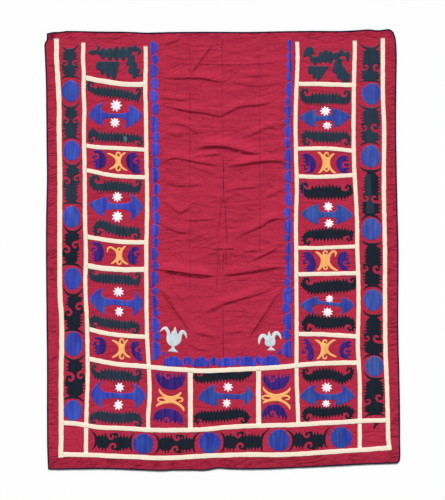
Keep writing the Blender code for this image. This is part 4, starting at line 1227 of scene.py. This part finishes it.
Horns = namedtuple("Horns", "centre half arm arms hooks")
HORNS = (
    Horns((118.3, 161.6), 1.3, 1.15, (((107.5, 153.5), ), ((109.5, 169.4), ), ((125.6, 152.8), ),
        ((127.2, 170.5), )), (9.2, 9.4)),
    Horns((119.3, 255.6), 1.6, 1.2, (((107.4, 252.0), (108.2, 248.4), (111.0, 247.4)), ((111.4, 263.6), ),
        ((125.6, 246.4), ), ((128.2, 264.4), )), (7.6, 9.0)),
    Horns((121.8, 349.0), 1.6, 1.25, (((112.3, 340.4), ), ((112.3, 357.4), ), ((128.0, 340.2), ),
        ((130.4, 357.6), )), (10.0, 10.2)),
    Horns((326.4, 162.8), 2.3, 1.3, (((318.0, 152.4), ), ((318.6, 173.0), ), ((334.2, 154.0), ),
        ((335.8, 173.0), )), (10.2, 8.6)),
    Horns((325.4, 260.6), 3.0, 1.45, (((315.8, 252.2), ), ((317.4, 270.4), ), ((335.4, 256.4),
        (335.8, 252.6), (332.8, 251.6)), ((338.0, 270.6), )), (9.6, 9.0)),
    Horns((324.8, 348.8), 2.3, 1.3, (((315.5, 340.1), ), ((317.0, 358.9), ), ((335.2, 340.1), ),
        ((336.4, 356.8), )), (8.8, 10.2)),
)
HORNS_ACROSS = (
    Horns((399.6, 170.6), 2.0, 1.35, (((389.0, 159.4), ), ((392.2, 181.0), ), ((406.6, 156.8), ),
        ((411.2, 184.0), )), (12.8, 12.4)),
    Horns((397.6, 276.2), 2.0, 1.35, (((387.4, 263.4), ), ((388.0, 290.0), ), ((403.2, 263.4), ),
        ((409.2, 290.0), )), (14.0, 13.6)),
)
HOOK_WIDTH = 1.9
WAIST_REACH = 3.2


def double_horns(horns, sideways):
    """Two pairs of curved horns back to back, with a small open hook at each end."""
    cx, cy = horns.centre
    parts = [[(cx, cy + along, horns.half + more)
              for along, more in ((-WAIST_REACH, 0.3), (0, 0.1), (WAIST_REACH, 0.3))]]
    for side, arms in ((-1, horns.arms[:2]), (1, horns.arms[2:])):
        waist = (cx + side * horns.half, cy, horns.arm * 1.15)
        for arm in arms:
            tip, inner = arm[0], arm[-1]
            way = np.sign(tip[1] - cy)
            bend = (inner[0] + (waist[0] - inner[0]) * 0.72, inner[1] + (cy - inner[1]) * 0.38, horns.arm)
            line = [(*tip, 0.5)] + [(*spot, horns.arm * 0.8) for spot in arm[1:]]
            if len(arm) == 1:
                line.append((tip[0] + (waist[0] - tip[0]) * 0.3, tip[1] - way * 0.9, horns.arm * 0.85))
            parts.append(line + [bend, (waist[0], cy + way * 1.8, horns.arm * 1.15), waist])
    for way, reach in zip((-1, 1), horns.hooks):
        hook = ((-1, 0.68, 0.95), (-0.4, 0.96, 0.85), (0.8, 0.93, 0.8), (1, 0.72, 0.6))
        parts.append([(cx - 0.2, cy + way * WAIST_REACH, 1.3)] + [
            (cx + HOOK_WIDTH * across, cy + way * reach * along, radius) for across, along, radius in hook])
    return join([curve([(y, x, r) if sideways else (x, y, r) for x, y, r in part], 3) for part in parts])


# Discs

Disc = namedtuple("Disc", "x y radius_x radius_y ragged", defaults=(0.05,))
DISCS_LEFT = (
    Disc(70.8, 91.2, 8.8, 10.6), Disc(71.9, 150.8, 8.5, 10.0), Disc(71.9, 217.0, 8.6, 10.8),
    Disc(73.0, 278.6, 8.9, 11.1, 0.1), Disc(74.0, 344.0, 9.0, 12.2, 0.1),
    Disc(73.2, 410.6, 9.0, 10.4, 0.08),
)
DISCS_RIGHT = (
    Disc(371.4, 94.0, 9.5, 10.8, 0.1), Disc(370.8, 156.6, 9.8, 11.2, 0.1),
    Disc(371.6, 229.3, 9.8, 10.8, 0.1), Disc(373.2, 300.0, 9.3, 10.8, 0.1),
    Disc(374.4, 366.4, 9.0, 10.2, 0.1),
)
DISCS_BOTTOM = (
    Disc(143.4, 443.9, 10.4, 10.2, 0.1), Disc(210.0, 442.6, 10.9, 10.6, 0.1),
    Disc(279.0, 440.3, 10.8, 10.8, 0.1), Disc(341.2, 437.6, 10.8, 10.6, 0.1),
)
# The edge over one group of stitches: share along it, and how deep it is there as a share of the group's
# own depth, of its own lean, and at least
SCALLOPS = ((0.0, 1.0, 0, 0), (0.2, 0.9, 0, 0), (0.34, 0, 0, 0), (0.62, 0, -1, 0), (0.88, 0, 0, 0.02))


def scalloped_disc(disc, rng):
    """A filled round a little out of true, its edge stepped by the ends of the stitches."""
    bulge, bulge_at = rng.uniform(0.01, 0.035), rng.uniform(0, 360)
    angle, points = rng.uniform(0, 20), []
    last = angle + 352
    while angle < last:
        width = rng.uniform(14, 32)
        deep, lean = rng.uniform(0.3, 1.0) * disc.ragged, rng.uniform(0.0, 0.02)
        for share, of_deep, of_lean, least in SCALLOPS:
            at = angle + width * share
            level = deep * of_deep + lean * of_lean + least
            size = (1.03 - level) * (1 + bulge * math.cos(math.radians(3 * (at - bulge_at))))
            points.extend(arc((disc.x, disc.y), (disc.radius_x * size, disc.radius_y * size), at, at, 0))
        angle += width
    return polygon(points)


# Vase figures. A figure runs along its strip; places are given as across and along. A cup: its low tip,
# deepest place and high tip. Sides are a block's two edges without teeth. Curls: the knob and size of each
# groove's curl.
Figure = namedtuple("Figure", "upright cup_1 full_1 sides_1 curls turn sides_2 full_2 cup_2")
FIGURES_TEAL = (
    Figure(1, (62.2, 46.4, 69.8, 50.3, 78.8, 44.4), 51.6, (63.8, 75.8), ((65.0, 63.0, 2.0),
        (75.0, 62.8, 1.9)), 1, (63.9, 75.4), 74.2, (62.6, 78.0, 69.6, 75.8, 80.0, 79.0)),
    Figure(1, (61.8, 102.4, 70.8, 108.3, 79.8, 101.2), 109.8, (65.6, 76.6), ((66.2, 120.4, 2.1),
        (75.5, 120.3, 1.9)), 1, (65.2, 76.5), 135.0, (63.0, 140.4, 71.4, 136.8, 80.6, 140.6)),
    Figure(1, (63.2, 159.6, 72.4, 166.2, 82.0, 159.4), 168.2, (66.8, 78.6), ((67.2, 180.7, 2.4),
        (76.7, 178.0, 2.1)), 1, (66.1, 76.6), 200.0, (63.2, 203.8, 71.6, 202.2, 82.4, 204.4)),
    Figure(1, (359.4, 43.2, 371.2, 48.8, 380.6, 42.8), 50.4, (364.0, 379.2), ((365.6, 67.0, 2.0),
        (376.4, 67.3, 2.6)), -1, (362.3, 378.6), 79.0, (360.2, 82.0, 371.0, 80.0, 380.6, 83.6)),
    Figure(1, (358.8, 104.2, 371.2, 109.2, 380.6, 105.8), 110.4, (363.9, 378.4), ((364.2, 127.7, 2.0),
        (374.9, 127.3, 3.1)), -1, (362.2, 378.6), 140.4, (359.8, 145.8, 370.4, 141.6, 379.8, 146.0)),
)
FIGURE_TWO_TONE = Figure(
    1, (360.0, 167.0, 371.0, 171.4, 382.2, 167.8), 176.2, (365.0, 378.2),
    ((365.8, 198.1, 2.0), (374.7, 198.8, 2.6)), -1,
    (363.2, 378.8), 213.0, (361.2, 221.2, 369.8, 214.8, 381.8, 222.4))
# The teal part of the figure worked in two colours
TEAL_AREA = (
    (358, 174), (371.8, 174), (371.8, 199.6), (374.8, 201.0), (374.8, 214), (366.0, 214), (366.0, 200.6),
    (358, 200.2),
)
FIGURES_BLACK = (
    Figure(1, (361.8, 240.8, 371.4, 244.6, 382.0, 242.2), 248.4, (366.0, 380.1), ((365.9, 268.5, 1.8),
        (376.5, 269.1, 2.8)), -1, (365.3, 379.8), 283.8, (363.2, 290.2, 372.8, 285.2, 383.0, 290.8)),
    Figure(1, (362.6, 310.2, 373.2, 316.0, 383.4, 313.4), 320.4, (366.6, 380.5), ((366.9, 338.3, 2.0),
        (376.9, 338.5, 2.8)), -1, (365.3, 382.2), 352.4, (363.2, 359.0, 374.4, 353.8, 384.4, 360.2)),
    Figure(1, (363.6, 371.6, 374.6, 379.0, 384.8, 377.2), 382.0, (366.4, 382.2), ((367.9, 401.4, 2.1),
        (379.4, 397.9, 2.8)), -1, (365.5, 383.0), 412.2, (364.2, 417.6, 374.6, 413.4, 384.8, 416.0)),
    Figure(1, (63.8, 225.4, 72.9, 232.2, 83.0, 224.6), 233.6, (65.7, 78.8), ((66.6, 249.3, 2.8),
        (75.6, 244.8, 2.5)), 1, (65.4, 77.2), 261.0, (60.6, 265.8, 71.4, 263.6, 82.4, 269.2)),
    Figure(1, (63.2, 287.8, 73.5, 295.4, 83.2, 288.2), 297.0, (68.2, 81.6), ((68.6, 312.1, 2.8),
        (79.4, 306.5, 2.7)), 1, (67.4, 80.6), 327.2, (63.2, 332.2, 73.3, 329.2, 84.0, 335.0)),
    Figure(1, (63.4, 354.2, 74.2, 360.6, 85.0, 354.2), 362.2, (68.4, 82.0), ((70.2, 377.2, 3.3),
        (81.0, 375.0, 2.9)), 1, (67.4, 82.8), 393.6, (63.4, 399.8, 74.2, 396.8, 84.8, 403.4)),
    Figure(0, (430.2, 90.8, 440.2, 96.6, 449.6, 91.8), 98.0, (436.0, 447.6), ((436.2, 111.3, 2.4),
        (446.4, 113.0, 2.7)), 1, (437.4, 448.2), 128.4, (432.4, 134.6, 442.0, 130.2, 451.6, 132.0)),
    Figure(0, (433.4, 153.8, 444.0, 159.4, 454.6, 153.8), 161.0, (438.0, 450.0), ((437.6, 176.9, 2.3),
        (449.2, 175.2, 2.5)), 1, (438.6, 449.4), 191.0, (431.8, 200.2, 442.4, 193.2, 454.4, 195.6)),
    Figure(0, (431.0, 219.8, 441.6, 225.0, 452.6, 220.8), 226.0, (435.6, 448.0), ((434.8, 238.1, 2.3),
        (446.0, 240.4, 2.6)), 1, (436.0, 447.4), 259.6, (428.6, 269.4, 441.4, 261.2, 452.8, 262.4)),
    Figure(0, (429.6, 286.8, 440.0, 293.8, 451.8, 287.8), 295.0, (434.0, 446.2), ((434.6, 306.7, 2.3),
        (445.4, 308.9, 2.8)), 1, (434.6, 446.8), 322.8, (427.0, 330.2, 438.4, 324.2, 448.4, 327.6)),
)
# A curl's groove and its hook: out from the figure, along it and radius, about the knob and in its size
CURL_GROOVE = (
    (3.2, -1.35, 0.75), (1.3, -1.2, 0.55), (-0.3, -1.05, 0.42), (-1.0, -0.15, 0.4), (-0.72, 0.75, 0.37),
    (0.1, 0.92, 0.3), (0.5, 0.45, 0.2),
)
CURL_HOOK = ((0.0, 0.05, 0.44), (0.45, -0.3, 0.38), (0.86, 0.0, 0.34), (0.98, 0.8, 0.42), (0.8, 1.9, 0.8))
# A tooth's length, pitch and half width, on upright figures and on figures that lie along the chart's x
UPRIGHT_TEETH = (3.4, 3.0, 1.25)
LYING_TEETH = (3.9, 3.1, 1.35)


def figure_sides(figure, waist):
    """The two edges of the blocks without teeth, as across and along."""
    sides = []
    for side, out in enumerate((-1, 1)):
        sides.append([
            (figure.cup_1[2] + out * 3.0, figure.cup_1[3]), (figure.sides_1[side], figure.full_1),
            (figure.sides_1[side], waist - 2), (figure.sides_2[side], waist + 2),
            (figure.sides_2[side], figure.full_2), (figure.cup_2[2] + out * 3.4, figure.cup_2[3])])
    return sides


def vase_figure(figure, rng):
    """Two ragged blocks joined at a waist with two curls, and a cup of two thin horns at each end."""
    def at(across, along, *radius):
        return (across, along, *radius) if figure.upright else (along, across, *radius)

    low, high = figure_sides(figure, sum(knob[1] for knob in figure.curls) / 2)
    shape = polygon([at(*place) for place in low + high[::-1]])
    length, pitch, half = UPRIGHT_TEETH if figure.upright else LYING_TEETH
    span = figure.full_2 - figure.full_1
    count = round(span / pitch)
    for sides, out, knob in zip((low, high), (-1, 1), figure.curls):
        way = np.array(at(out, 0), dtype=float)
        edge_across, edge_along = zip(*sides)
        for k in range(count):
            along = figure.full_1 + span * (k + 0.4 + rng.uniform(0, 0.2)) / count
            if -1.9 < (along - knob[1]) / knob[2] * figure.turn < 1.1:
                continue
            across = np.interp(along, edge_along, edge_across) - out * 0.7
            reach = length * rng.uniform(0.75, 1.15) * (0.7 if k in (0, count - 1) else 1.0)
            shape = shape | spike(at(across, along), way, reach, half, rng.uniform(-0.3, 0.3))
    thin = []
    for out, (across, along, size) in zip((-1, 1), figure.curls):
        groove, hook = (
            [at(across + out * size * x, along + figure.turn * size * y, size * r) for x, y, r in rows]
            for rows in (CURL_GROOVE, CURL_HOOK))
        shape = shape - curve(groove, 3)
        thin.append(curve(hook, 3))
    for x1, y1, middle_x, middle_y, x2, y2 in (figure.cup_1, figure.cup_2):
        def between(x, y):
            return at(x + (middle_x - x) * 0.42, y + (middle_y - y) * 0.72, 1.15)
        deepest = at(middle_x, middle_y, 1.6)
        thin.append(curve((at(x1, y1, 0.35), between(x1, y1), deepest, between(x2, y2), at(x2, y2, 0.35)), 4))
    return shape | join(thin)


def two_tone_figure(rng):
    """The one figure worked in two colours: its teal part, and the whole for the black one under it."""
    whole = vase_figure(FIGURE_TWO_TONE, rng)
    return whole & polygon(TEAL_AREA), whole


# The vine's leaves: start and end along the tape, the straight side's place and where the round side ends

Leaf = namedtuple("Leaf", "start end flat round_to")
VINE_LEFT = (
    Leaf(41.4, 55.0, 150.2, 158.6), Leaf(63.6, 78.0, 150.2, 158.6), Leaf(89.4, 102.6, 150.6, 158.8),
    Leaf(115, 132, 151.2, 159.4), Leaf(142.4, 157, 151.8, 160.2), Leaf(167, 184, 152.0, 160.2),
    Leaf(195.2, 211.8, 151.8, 160.4), Leaf(224, 238, 151.6, 160.0), Leaf(246.6, 260, 151.2, 158.8),
    Leaf(271.2, 288, 151.0, 159.0), Leaf(294.6, 309, 151.8, 158.6), Leaf(316.6, 332, 151.6, 160.2),
    Leaf(341, 360.4, 152.4, 161.2),
)
VINE_RIGHT = (
    Leaf(39.4, 53, 292.2, 287.4), Leaf(59.4, 72.4, 292.6, 286.8), Leaf(81.4, 98, 292.2, 285.4),
    Leaf(104.8, 118, 291.6, 284.4), Leaf(124.4, 138, 291.4, 284.0), Leaf(147.8, 162.4, 292.2, 284.2),
    Leaf(169.8, 183.4, 291.8, 284.4), Leaf(192.8, 207, 291.8, 284.4), Leaf(218.6, 234, 292.2, 283.6),
    Leaf(241.4, 255, 292.0, 285.0), Leaf(261.8, 279, 292.0, 285.2), Leaf(285.4, 303.4, 292.2, 282.6),
    Leaf(312.6, 330, 292.2, 282.6), Leaf(339.6, 357.2, 292.2, 281.8),
)
VINE_BOTTOM = (
    Leaf(163.4, 183.6, 366.6, 355.6), Leaf(191.4, 210, 367.0, 356.6), Leaf(218.2, 235, 366.8, 356.4),
    Leaf(239.4, 256.4, 366.4, 355.6), Leaf(261.6, 280.4, 366.2, 355.0),
)
VINE_VEIN = 1.0


def vine_leaf(leaf, across, rng, grow=0.0):
    """A half-round leaf, ragged on the straight side beside the tape. across lays it along the chart's x."""
    start, end = leaf.start - grow, leaf.end + grow
    lean = np.sign(leaf.round_to - leaf.flat)
    flat, round_to = leaf.flat - lean * grow * 3, leaf.round_to + lean * grow
    length = end - start
    skew = rng.uniform(-0.1, 0.1)
    points = []
    count = max(3, round(length / 3.0))
    for k in range(count):
        along = start + length * k / count
        points.append((flat + lean * rng.uniform(0.8, 1.5), along + 0.3))
        points.append((flat - lean * rng.uniform(0.1, 0.6), along + length / count * 0.55))
    points.append((flat + lean * 0.8, end))
    for turn in np.radians(np.linspace(6, 174, 19)):
        share = (1 - math.cos(turn)) / 2 + skew * math.sin(turn)
        ragged = 1.0 if grow else rng.uniform(0.88, 1.05)
        points.append((flat + (round_to - flat) * math.sin(turn) ** 0.8 * ragged, end - length * share))
    return polygon([(y, x) for x, y in points] if across else points)


# Half of a filler leaf's edge: angle and share of its size
FILLER_EDGE = (
    (0, 1.15), (18, 0.76), (42, 0.95), (66, 0.76), (90, 1.0), (112, 0.76), (138, 0.95), (160, 0.76),
)


def filler_leaf(centre, half_x, half_y, rng):
    """A small ragged leaf with points into the corners beside it."""
    points = []
    for turn in (0, 180):
        for angle, share in FILLER_EDGE:
            size = share * rng.uniform(0.82, 1.12)
            points.extend(arc(centre, (half_x * size, half_y * size), angle + turn, angle + turn, 0))
    return polygon(points)


def vine_shapes(rng):
    """Half-round leaves along the tapes, and small leaves that fill the room between them."""
    shapes = []
    for leaves, across in ((VINE_LEFT, False), (VINE_RIGHT, False), (VINE_BOTTOM, True)):
        for leaf, after in zip(leaves, leaves[1:] + (None,)):
            shapes.append(vine_leaf(leaf, across, rng))
            if after is None:
                continue
            flat, round_to = (leaf.flat + after.flat) / 2, (leaf.round_to + after.round_to) / 2
            centre = (flat * 0.44 + round_to * 0.56, (leaf.end + after.start) / 2)
            reach = (after.start - leaf.end) / 2 + 2.4
            half = abs(round_to - flat) * 0.49
            if across:
                filler = filler_leaf(centre[::-1], reach, half, rng)
            else:
                filler = filler_leaf(centre, half, reach, rng)
            for neighbour in (leaf, after):
                filler = filler - vine_leaf(neighbour, across, np.random.default_rng(1), VINE_VEIN)
            shapes.append(filler)
    return shapes + [filler_leaf((163.6, 353.4), 2.4, 2.6, rng), filler_leaf((279.4, 352.4), 2.8, 3.2, rng)]


# Ewers. The rim is a run of corners, the bowl's two halves are curves under it, petals have x, y and radius
Ewer = namedtuple("Ewer", "rim bowl_right bowl_left steps left_petal right_petal foot")
EWERS = (
    Ewer(
        ((168.0, 331.6), (169.2, 334.4), (170.8, 334.4), (172.0, 331.8), (173.4, 330.6), (174.6, 327.2),
         (175.3, 326.2), (176.2, 328.6), (177.2, 332.6), (178.2, 334.2), (179.6, 334.0), (180.0, 333.0)),
        ((181.8, 336), (182.4, 344.6), (173.6, 346.8)), ((172.4, 346.8), (165.4, 343.8), (166.8, 336)), 7,
        ((169.2, 337.0, 1.7), (168.4, 332.2, 1.8), (165.9, 328.2, 1.6), (162.8, 329.0, 1.0),
         (160.4, 331.4, 0.35)),
        ((180.2, 337.0, 1.8), (181.0, 333.0, 1.9), (183.4, 331.8, 1.7), (185.6, 334.2, 1.2),
         (186.8, 338.6, 0.35)),
        ((172.4, 346.2), (174.0, 346.2), (174.8, 348.4), (178.8, 352.6), (167.6, 351.2), (171.2, 348.6))),
    Ewer(
        ((265.6, 337.6), (266.8, 338.6), (267.6, 336.6), (268.0, 333.4), (269.2, 330.8), (270.4, 333.6),
         (271.6, 336.6), (272.8, 336.8), (274.2, 336.0)),
        ((275.6, 341), (276.0, 346.0), (271.4, 346.6)), ((270.2, 346.6), (263.8, 346.4), (265.0, 341)), 6,
        ((267.0, 340.0, 1.8), (265.0, 336.2, 1.9), (261.9, 335.9, 1.8), (259.7, 339.2, 1.5),
         (258.9, 343.8, 0.5)),
        ((273.0, 338.6, 1.7), (274.2, 334.4, 1.9), (276.8, 332.9, 1.8), (279.6, 335.2, 1.3),
         (281.0, 339.0, 0.4)),
        ((270.4, 346.2), (271.8, 346.2), (272.8, 348.0), (276.0, 350.4), (266.8, 350.4), (269.6, 348.0))),
)


def ewer(part):
    """A small jug: a bowl under a notched rim, a curved petal at each side, and a foot."""
    halves = [bezier(*half, steps=part.steps) for half in (part.bowl_right, part.bowl_left)]
    bowl = polygon([*part.rim, *halves[0], *halves[1]])
    return bowl | curve(part.left_petal) | curve(part.right_petal) | polygon(part.foot)


# The sprigs at the top. areas: corners; leaves: ovals as x, top, bottom and half width; curves: x, y and
# radius; strokes and cuts: places and radii
Sprig = namedtuple("Sprig", "areas leaves curves strokes cuts", defaults=((), (), (), (), ()))
TOP_SPRIGS = (
    Sprig(
        leaves=(
            (103.4, 47.6, 59.4, 3.2), (110.2, 47.4, 60.8, 3.5), (116.8, 46.2, 61.0, 3.4),
            (123.4, 46.2, 60.8, 3.4),
            (129.4, 46.0, 59.4, 3.4), (135.4, 45.2, 52.4, 2.6), (127.8, 60.6, 66.6, 1.7),
            (135.8, 62.4, 68.6, 1.8),
            (130.6, 67.4, 74.2, 2.8), (137.4, 67.6, 74.0, 2.9), (134.4, 70.0, 79.0, 2.6)),
        curves=(
            ((89.4, 52.6, 1.2), (93.4, 52.4, 2.6), (97.0, 52.8, 1.6), (101.0, 53.2, 2.2)),
            ((101.0, 53.4, 2.8), (112, 54.0, 3.6), (124, 53.4, 3.6), (130, 52.6, 2.6)),
            ((96.8, 45.8, 0.7), (98.6, 46.8, 1.2), (98.4, 49.6, 1.3), (96.6, 51.0, 1.2)),
            ((130, 49.6, 2.2), (134.4, 48.6, 2.0), (139.0, 50.0, 2.1), (139.6, 52.8, 1.6),
             (137.6, 54.8, 0.8)),
            ((131.0, 55.0, 3.6), (131.6, 60.0, 3.9), (132.2, 65.4, 3.2), (133.6, 70.6, 3.6))),
        strokes=((((135, 75.6), (142.4, 75.2)), (1.8, 0.8)),),
        cuts=((((132.6, 54.0), (135.8, 52.8)), (1.0, 0.9)),)),
    Sprig(
        areas=(
            ((97.6, 61.6), (119.4, 61.3), (119.6, 65.0), (118.0, 71.6), (116.2, 78.0), (112.4, 78.4),
             (109, 75),
             (104, 73), (98.4, 69.4)),),
        leaves=(
            (98.2, 61.8, 70.2, 2.4), (102.8, 62.6, 75.2, 3.0), (108.4, 63.4, 78.2, 3.1),
            (113.6, 64.0, 80.4, 2.8)),
        cuts=((((105.6, 72.4), (105.8, 78)), (0.3, 0.6)), (((111.0, 75.4), (111.2, 80)), (0.3, 0.6)))),
    Sprig(
        leaves=(
            (315.2, 56.6, 65.4, 2.8), (320.8, 51.2, 64.0, 2.9), (325.6, 49.6, 63.6, 2.9),
            (330.4, 50.4, 64.2, 2.9),
            (336.4, 52.0, 60.4, 2.8), (341.6, 49.0, 62.0, 2.9), (347.8, 50.6, 61.8, 2.4)),
        curves=(
            ((312.4, 59.8, 2.6), (318, 59.2, 3.0), (325, 57.4, 3.8), (331, 57.0, 3.4), (338, 55.2, 2.3),
             (344, 54.4, 2.2)),),
        strokes=(
            (((309.4, 51.4), (309.8, 52.0)), (4.9, 4.9)), (((306.4, 53.4), (304.6, 55.8)), (2.6, 1.6)),
            (((311.4, 56.0), (312.6, 60.6)), (2.2, 2.0))),
        cuts=(
            (((312.6, 55.2), (318.2, 54.4)), (0.9, 0.9)), (((340.8, 57.8), (343.6, 57.4)), (1.2, 1.3)),
            (((332.0, 64.0), (336.6, 60.6), (340, 58.2)), (0.8, 0.7, 0.6)))),
    Sprig(
        areas=(
            ((307.8, 66.0), (330.0, 66.2), (326.4, 71.0), (321.8, 78.0), (318.8, 80.6), (315.0, 78.6),
             (312, 75),
             (309.6, 70.6)),),
        leaves=((310.0, 66.0, 75.0, 2.2), (314.2, 68.0, 79.0, 2.6), (318.4, 69.0, 81.4, 2.5)),
        cuts=((((312.0, 74.0), (311.6, 78)), (0.3, 0.6)), (((316.4, 77.6), (316.2, 81.4)), (0.3, 0.6)))),
    Sprig(
        leaves=(
            (334.6, 66.6, 74.0, 1.9), (339.0, 73.0, 79.8, 2.2), (343.4, 76.0, 82.6, 2.2),
            (349.2, 72.6, 79.6, 1.6)),
        curves=(
            ((339.2, 60.6, 2.4), (337.8, 65.6, 4.6), (340.6, 71.4, 5.6), (344.6, 76.8, 4.8),
             (347.2, 80.6, 2.8)),)),
)
# A scrap of black filling at the lower right corner, the worn patch and the stray thread
CORNER_SCRAP = (
    (375.4, 422.4), (380.2, 422.6), (377.2, 425.4), (374.2, 429.2), (373.2, 427.6), (374.2, 424.8),
)
WORN_PATCH = ((124.6, 136.6, 1.0), (125.4, 139.0, 2.2), (125.8, 141.8, 1.2))
STRAY_THREAD = ((303.3, 182.0, 0.75), (303.7, 195.0, 0.75))


def sprig(part):
    """The sprig's areas, leaves, curves and strokes in one shape, less its cuts."""
    shape = join([
        *map(polygon, part.areas), *(oval(*leaf) for leaf in part.leaves), *map(curve, part.curves),
        *(stroke(*row) for row in part.strokes)])
    for row in part.cuts:
        shape = shape - stroke(*row)
    return shape


def make_all_embroidery():
    """Every piece of embroidery. Their order fixes which random draws each one gets."""
    rng = np.random.default_rng(4882)
    teal = floss_material("floss_teal", TEAL, 0.16)
    black = floss_material("floss_black_green", BLACK_GREEN, 0.14)
    teal_part, black_part = two_tone_figure(rng)

    def drawn(motif, rows):
        return [motif(row, rng) for row in rows]

    horns = [double_horns(row, False) for row in HORNS] + [double_horns(row, True) for row in HORNS_ACROSS]
    pieces = [
        make_embroidery("bars_teal", drawn(horned_bar, BARS_TEAL), teal),
        make_embroidery("bars_black", drawn(horned_bar, BARS_BLACK), black),
        make_embroidery("axes_left", [double_axe(axe) for axe in AXES_LEFT],
                        floss_material("floss_axe_left", BLUE_AXE_LEFT, mottle=MOTTLE)),
        make_embroidery("axes_right", [double_axe(axe) for axe in AXES_RIGHT],
                        floss_material("floss_axe_right", BLUE_AXE_RIGHT, mottle=MOTTLE)),
        make_embroidery("stars", drawn(rayed_star, STARS),
                        floss_material("floss_white", WHITE, 0.05), rise=STAR_RISE),
        make_embroidery("crescents", drawn(toothed_crescent, CRESCENTS),
                        floss_material("floss_purple", PURPLE, 0.5)),
        make_embroidery("double_horns", horns, floss_material("floss_orange", ORANGE, 0.1)),
        make_embroidery("discs_left", drawn(scalloped_disc, DISCS_LEFT),
                        floss_material("floss_disc_left", BLUE_LEFT, mottle=MOTTLE)),
        make_embroidery("discs_right", drawn(scalloped_disc, DISCS_RIGHT),
                        floss_material("floss_disc_right", BLUE_RIGHT, mottle=MOTTLE)),
        make_embroidery("discs_bottom", drawn(scalloped_disc, DISCS_BOTTOM),
                        floss_material("floss_disc_bottom", BLUE_BOTTOM, mottle=MOTTLE_BOTTOM)),
        make_embroidery("figures_teal",
                        drawn(vase_figure, FIGURES_TEAL) + [teal_part], teal, rise=PROUD_RISE),
        make_embroidery("figures_black",
                        drawn(vase_figure, FIGURES_BLACK) + [black_part, polygon(CORNER_SCRAP)], black),
        make_embroidery("vine", vine_shapes(rng), floss_material("floss_vine", BLUE_VINE, 0.45)),
        make_embroidery("ewers", [ewer(part) for part in EWERS], floss_material("floss_pale", PALE, 0.08)),
        make_embroidery("top_sprigs", [sprig(part) for part in TOP_SPRIGS],
                        floss_material("floss_top", TOP_TEAL, 0.2)),
        make_embroidery("stray_thread", [curve(STRAY_THREAD, 1)],
                        floss_material("floss_stray", BLUE_AXE_LEFT), rise=PROUD_RISE),
        make_embroidery("worn_patch", [curve(WORN_PATCH)],
                        floss_material("floss_worn", WORN, 0.4), rise=PROUD_RISE),
    ]
    return pieces


# The stage

def add_to_scene(name, data):
    item = bpy.data.objects.new(name, data)
    bpy.context.scene.collection.objects.link(item)
    return item


def make_floor():
    mesh = bpy.data.meshes.new("floor")
    corners = [(x * FLOOR_HALF, y * FLOOR_HALF, 0) for x, y in ((-1, -1), (1, -1), (1, 1), (-1, 1))]
    mesh.from_pydata(corners, [], [(0, 1, 2, 3)])
    mesh.materials.append(Nodes("floor_white").finish(FLOOR_WHITE, 1.0, 0.0))
    floor = add_to_scene("floor", mesh)
    floor.location.z = -FLOOR_DROP


def make_light():
    world = bpy.data.worlds.new("studio")
    world.use_nodes = True
    background = world.node_tree.nodes["Background"]
    background.inputs["Color"].default_value = (1, 1, 1, 1)
    background.inputs["Strength"].default_value = LIGHT_TOTAL * (1 - KEY_SHARE)
    bpy.context.scene.world = world

    sun = bpy.data.lights.new("key", "SUN")
    sun.angle = math.radians(KEY_SOFTNESS)
    elevation = math.radians(KEY_ELEVATION)
    sun.energy = LIGHT_TOTAL * KEY_SHARE * math.pi / math.sin(elevation)
    key = add_to_scene("key", sun)
    key.rotation_euler = (-(math.pi / 2 - elevation), 0, math.radians(KEY_TURN))


def make_camera():
    """A camera straight above that sees the whole height of the chart."""
    data = bpy.data.cameras.new("camera")
    data.sensor_fit = "VERTICAL"
    data.sensor_height = SENSOR_HEIGHT
    data.lens = LENS
    camera = add_to_scene("camera", data)
    camera.location = (0, 0, CHART_HEIGHT * SQUARE * LENS / SENSOR_HEIGHT)
    bpy.context.scene.camera = camera
    bpy.context.scene.view_settings.view_transform = "Standard"


def main():
    cloth = make_ground_cloth()
    cream = woven_material("cream_tape_weave", CREAM, 0.0011, 0.02)
    pieces = [make_binding()]
    seed = 100
    for tapes, over in ((UPRIGHTS, False), (RUNGS, False), (CROSSES, True)):
        for name, tape in tapes.items():
            seed += 1
            pieces.append(make_tape(name, tape, cream, seed, over))
    pieces += make_all_embroidery()
    make_floor()
    make_light()
    make_camera()


main()
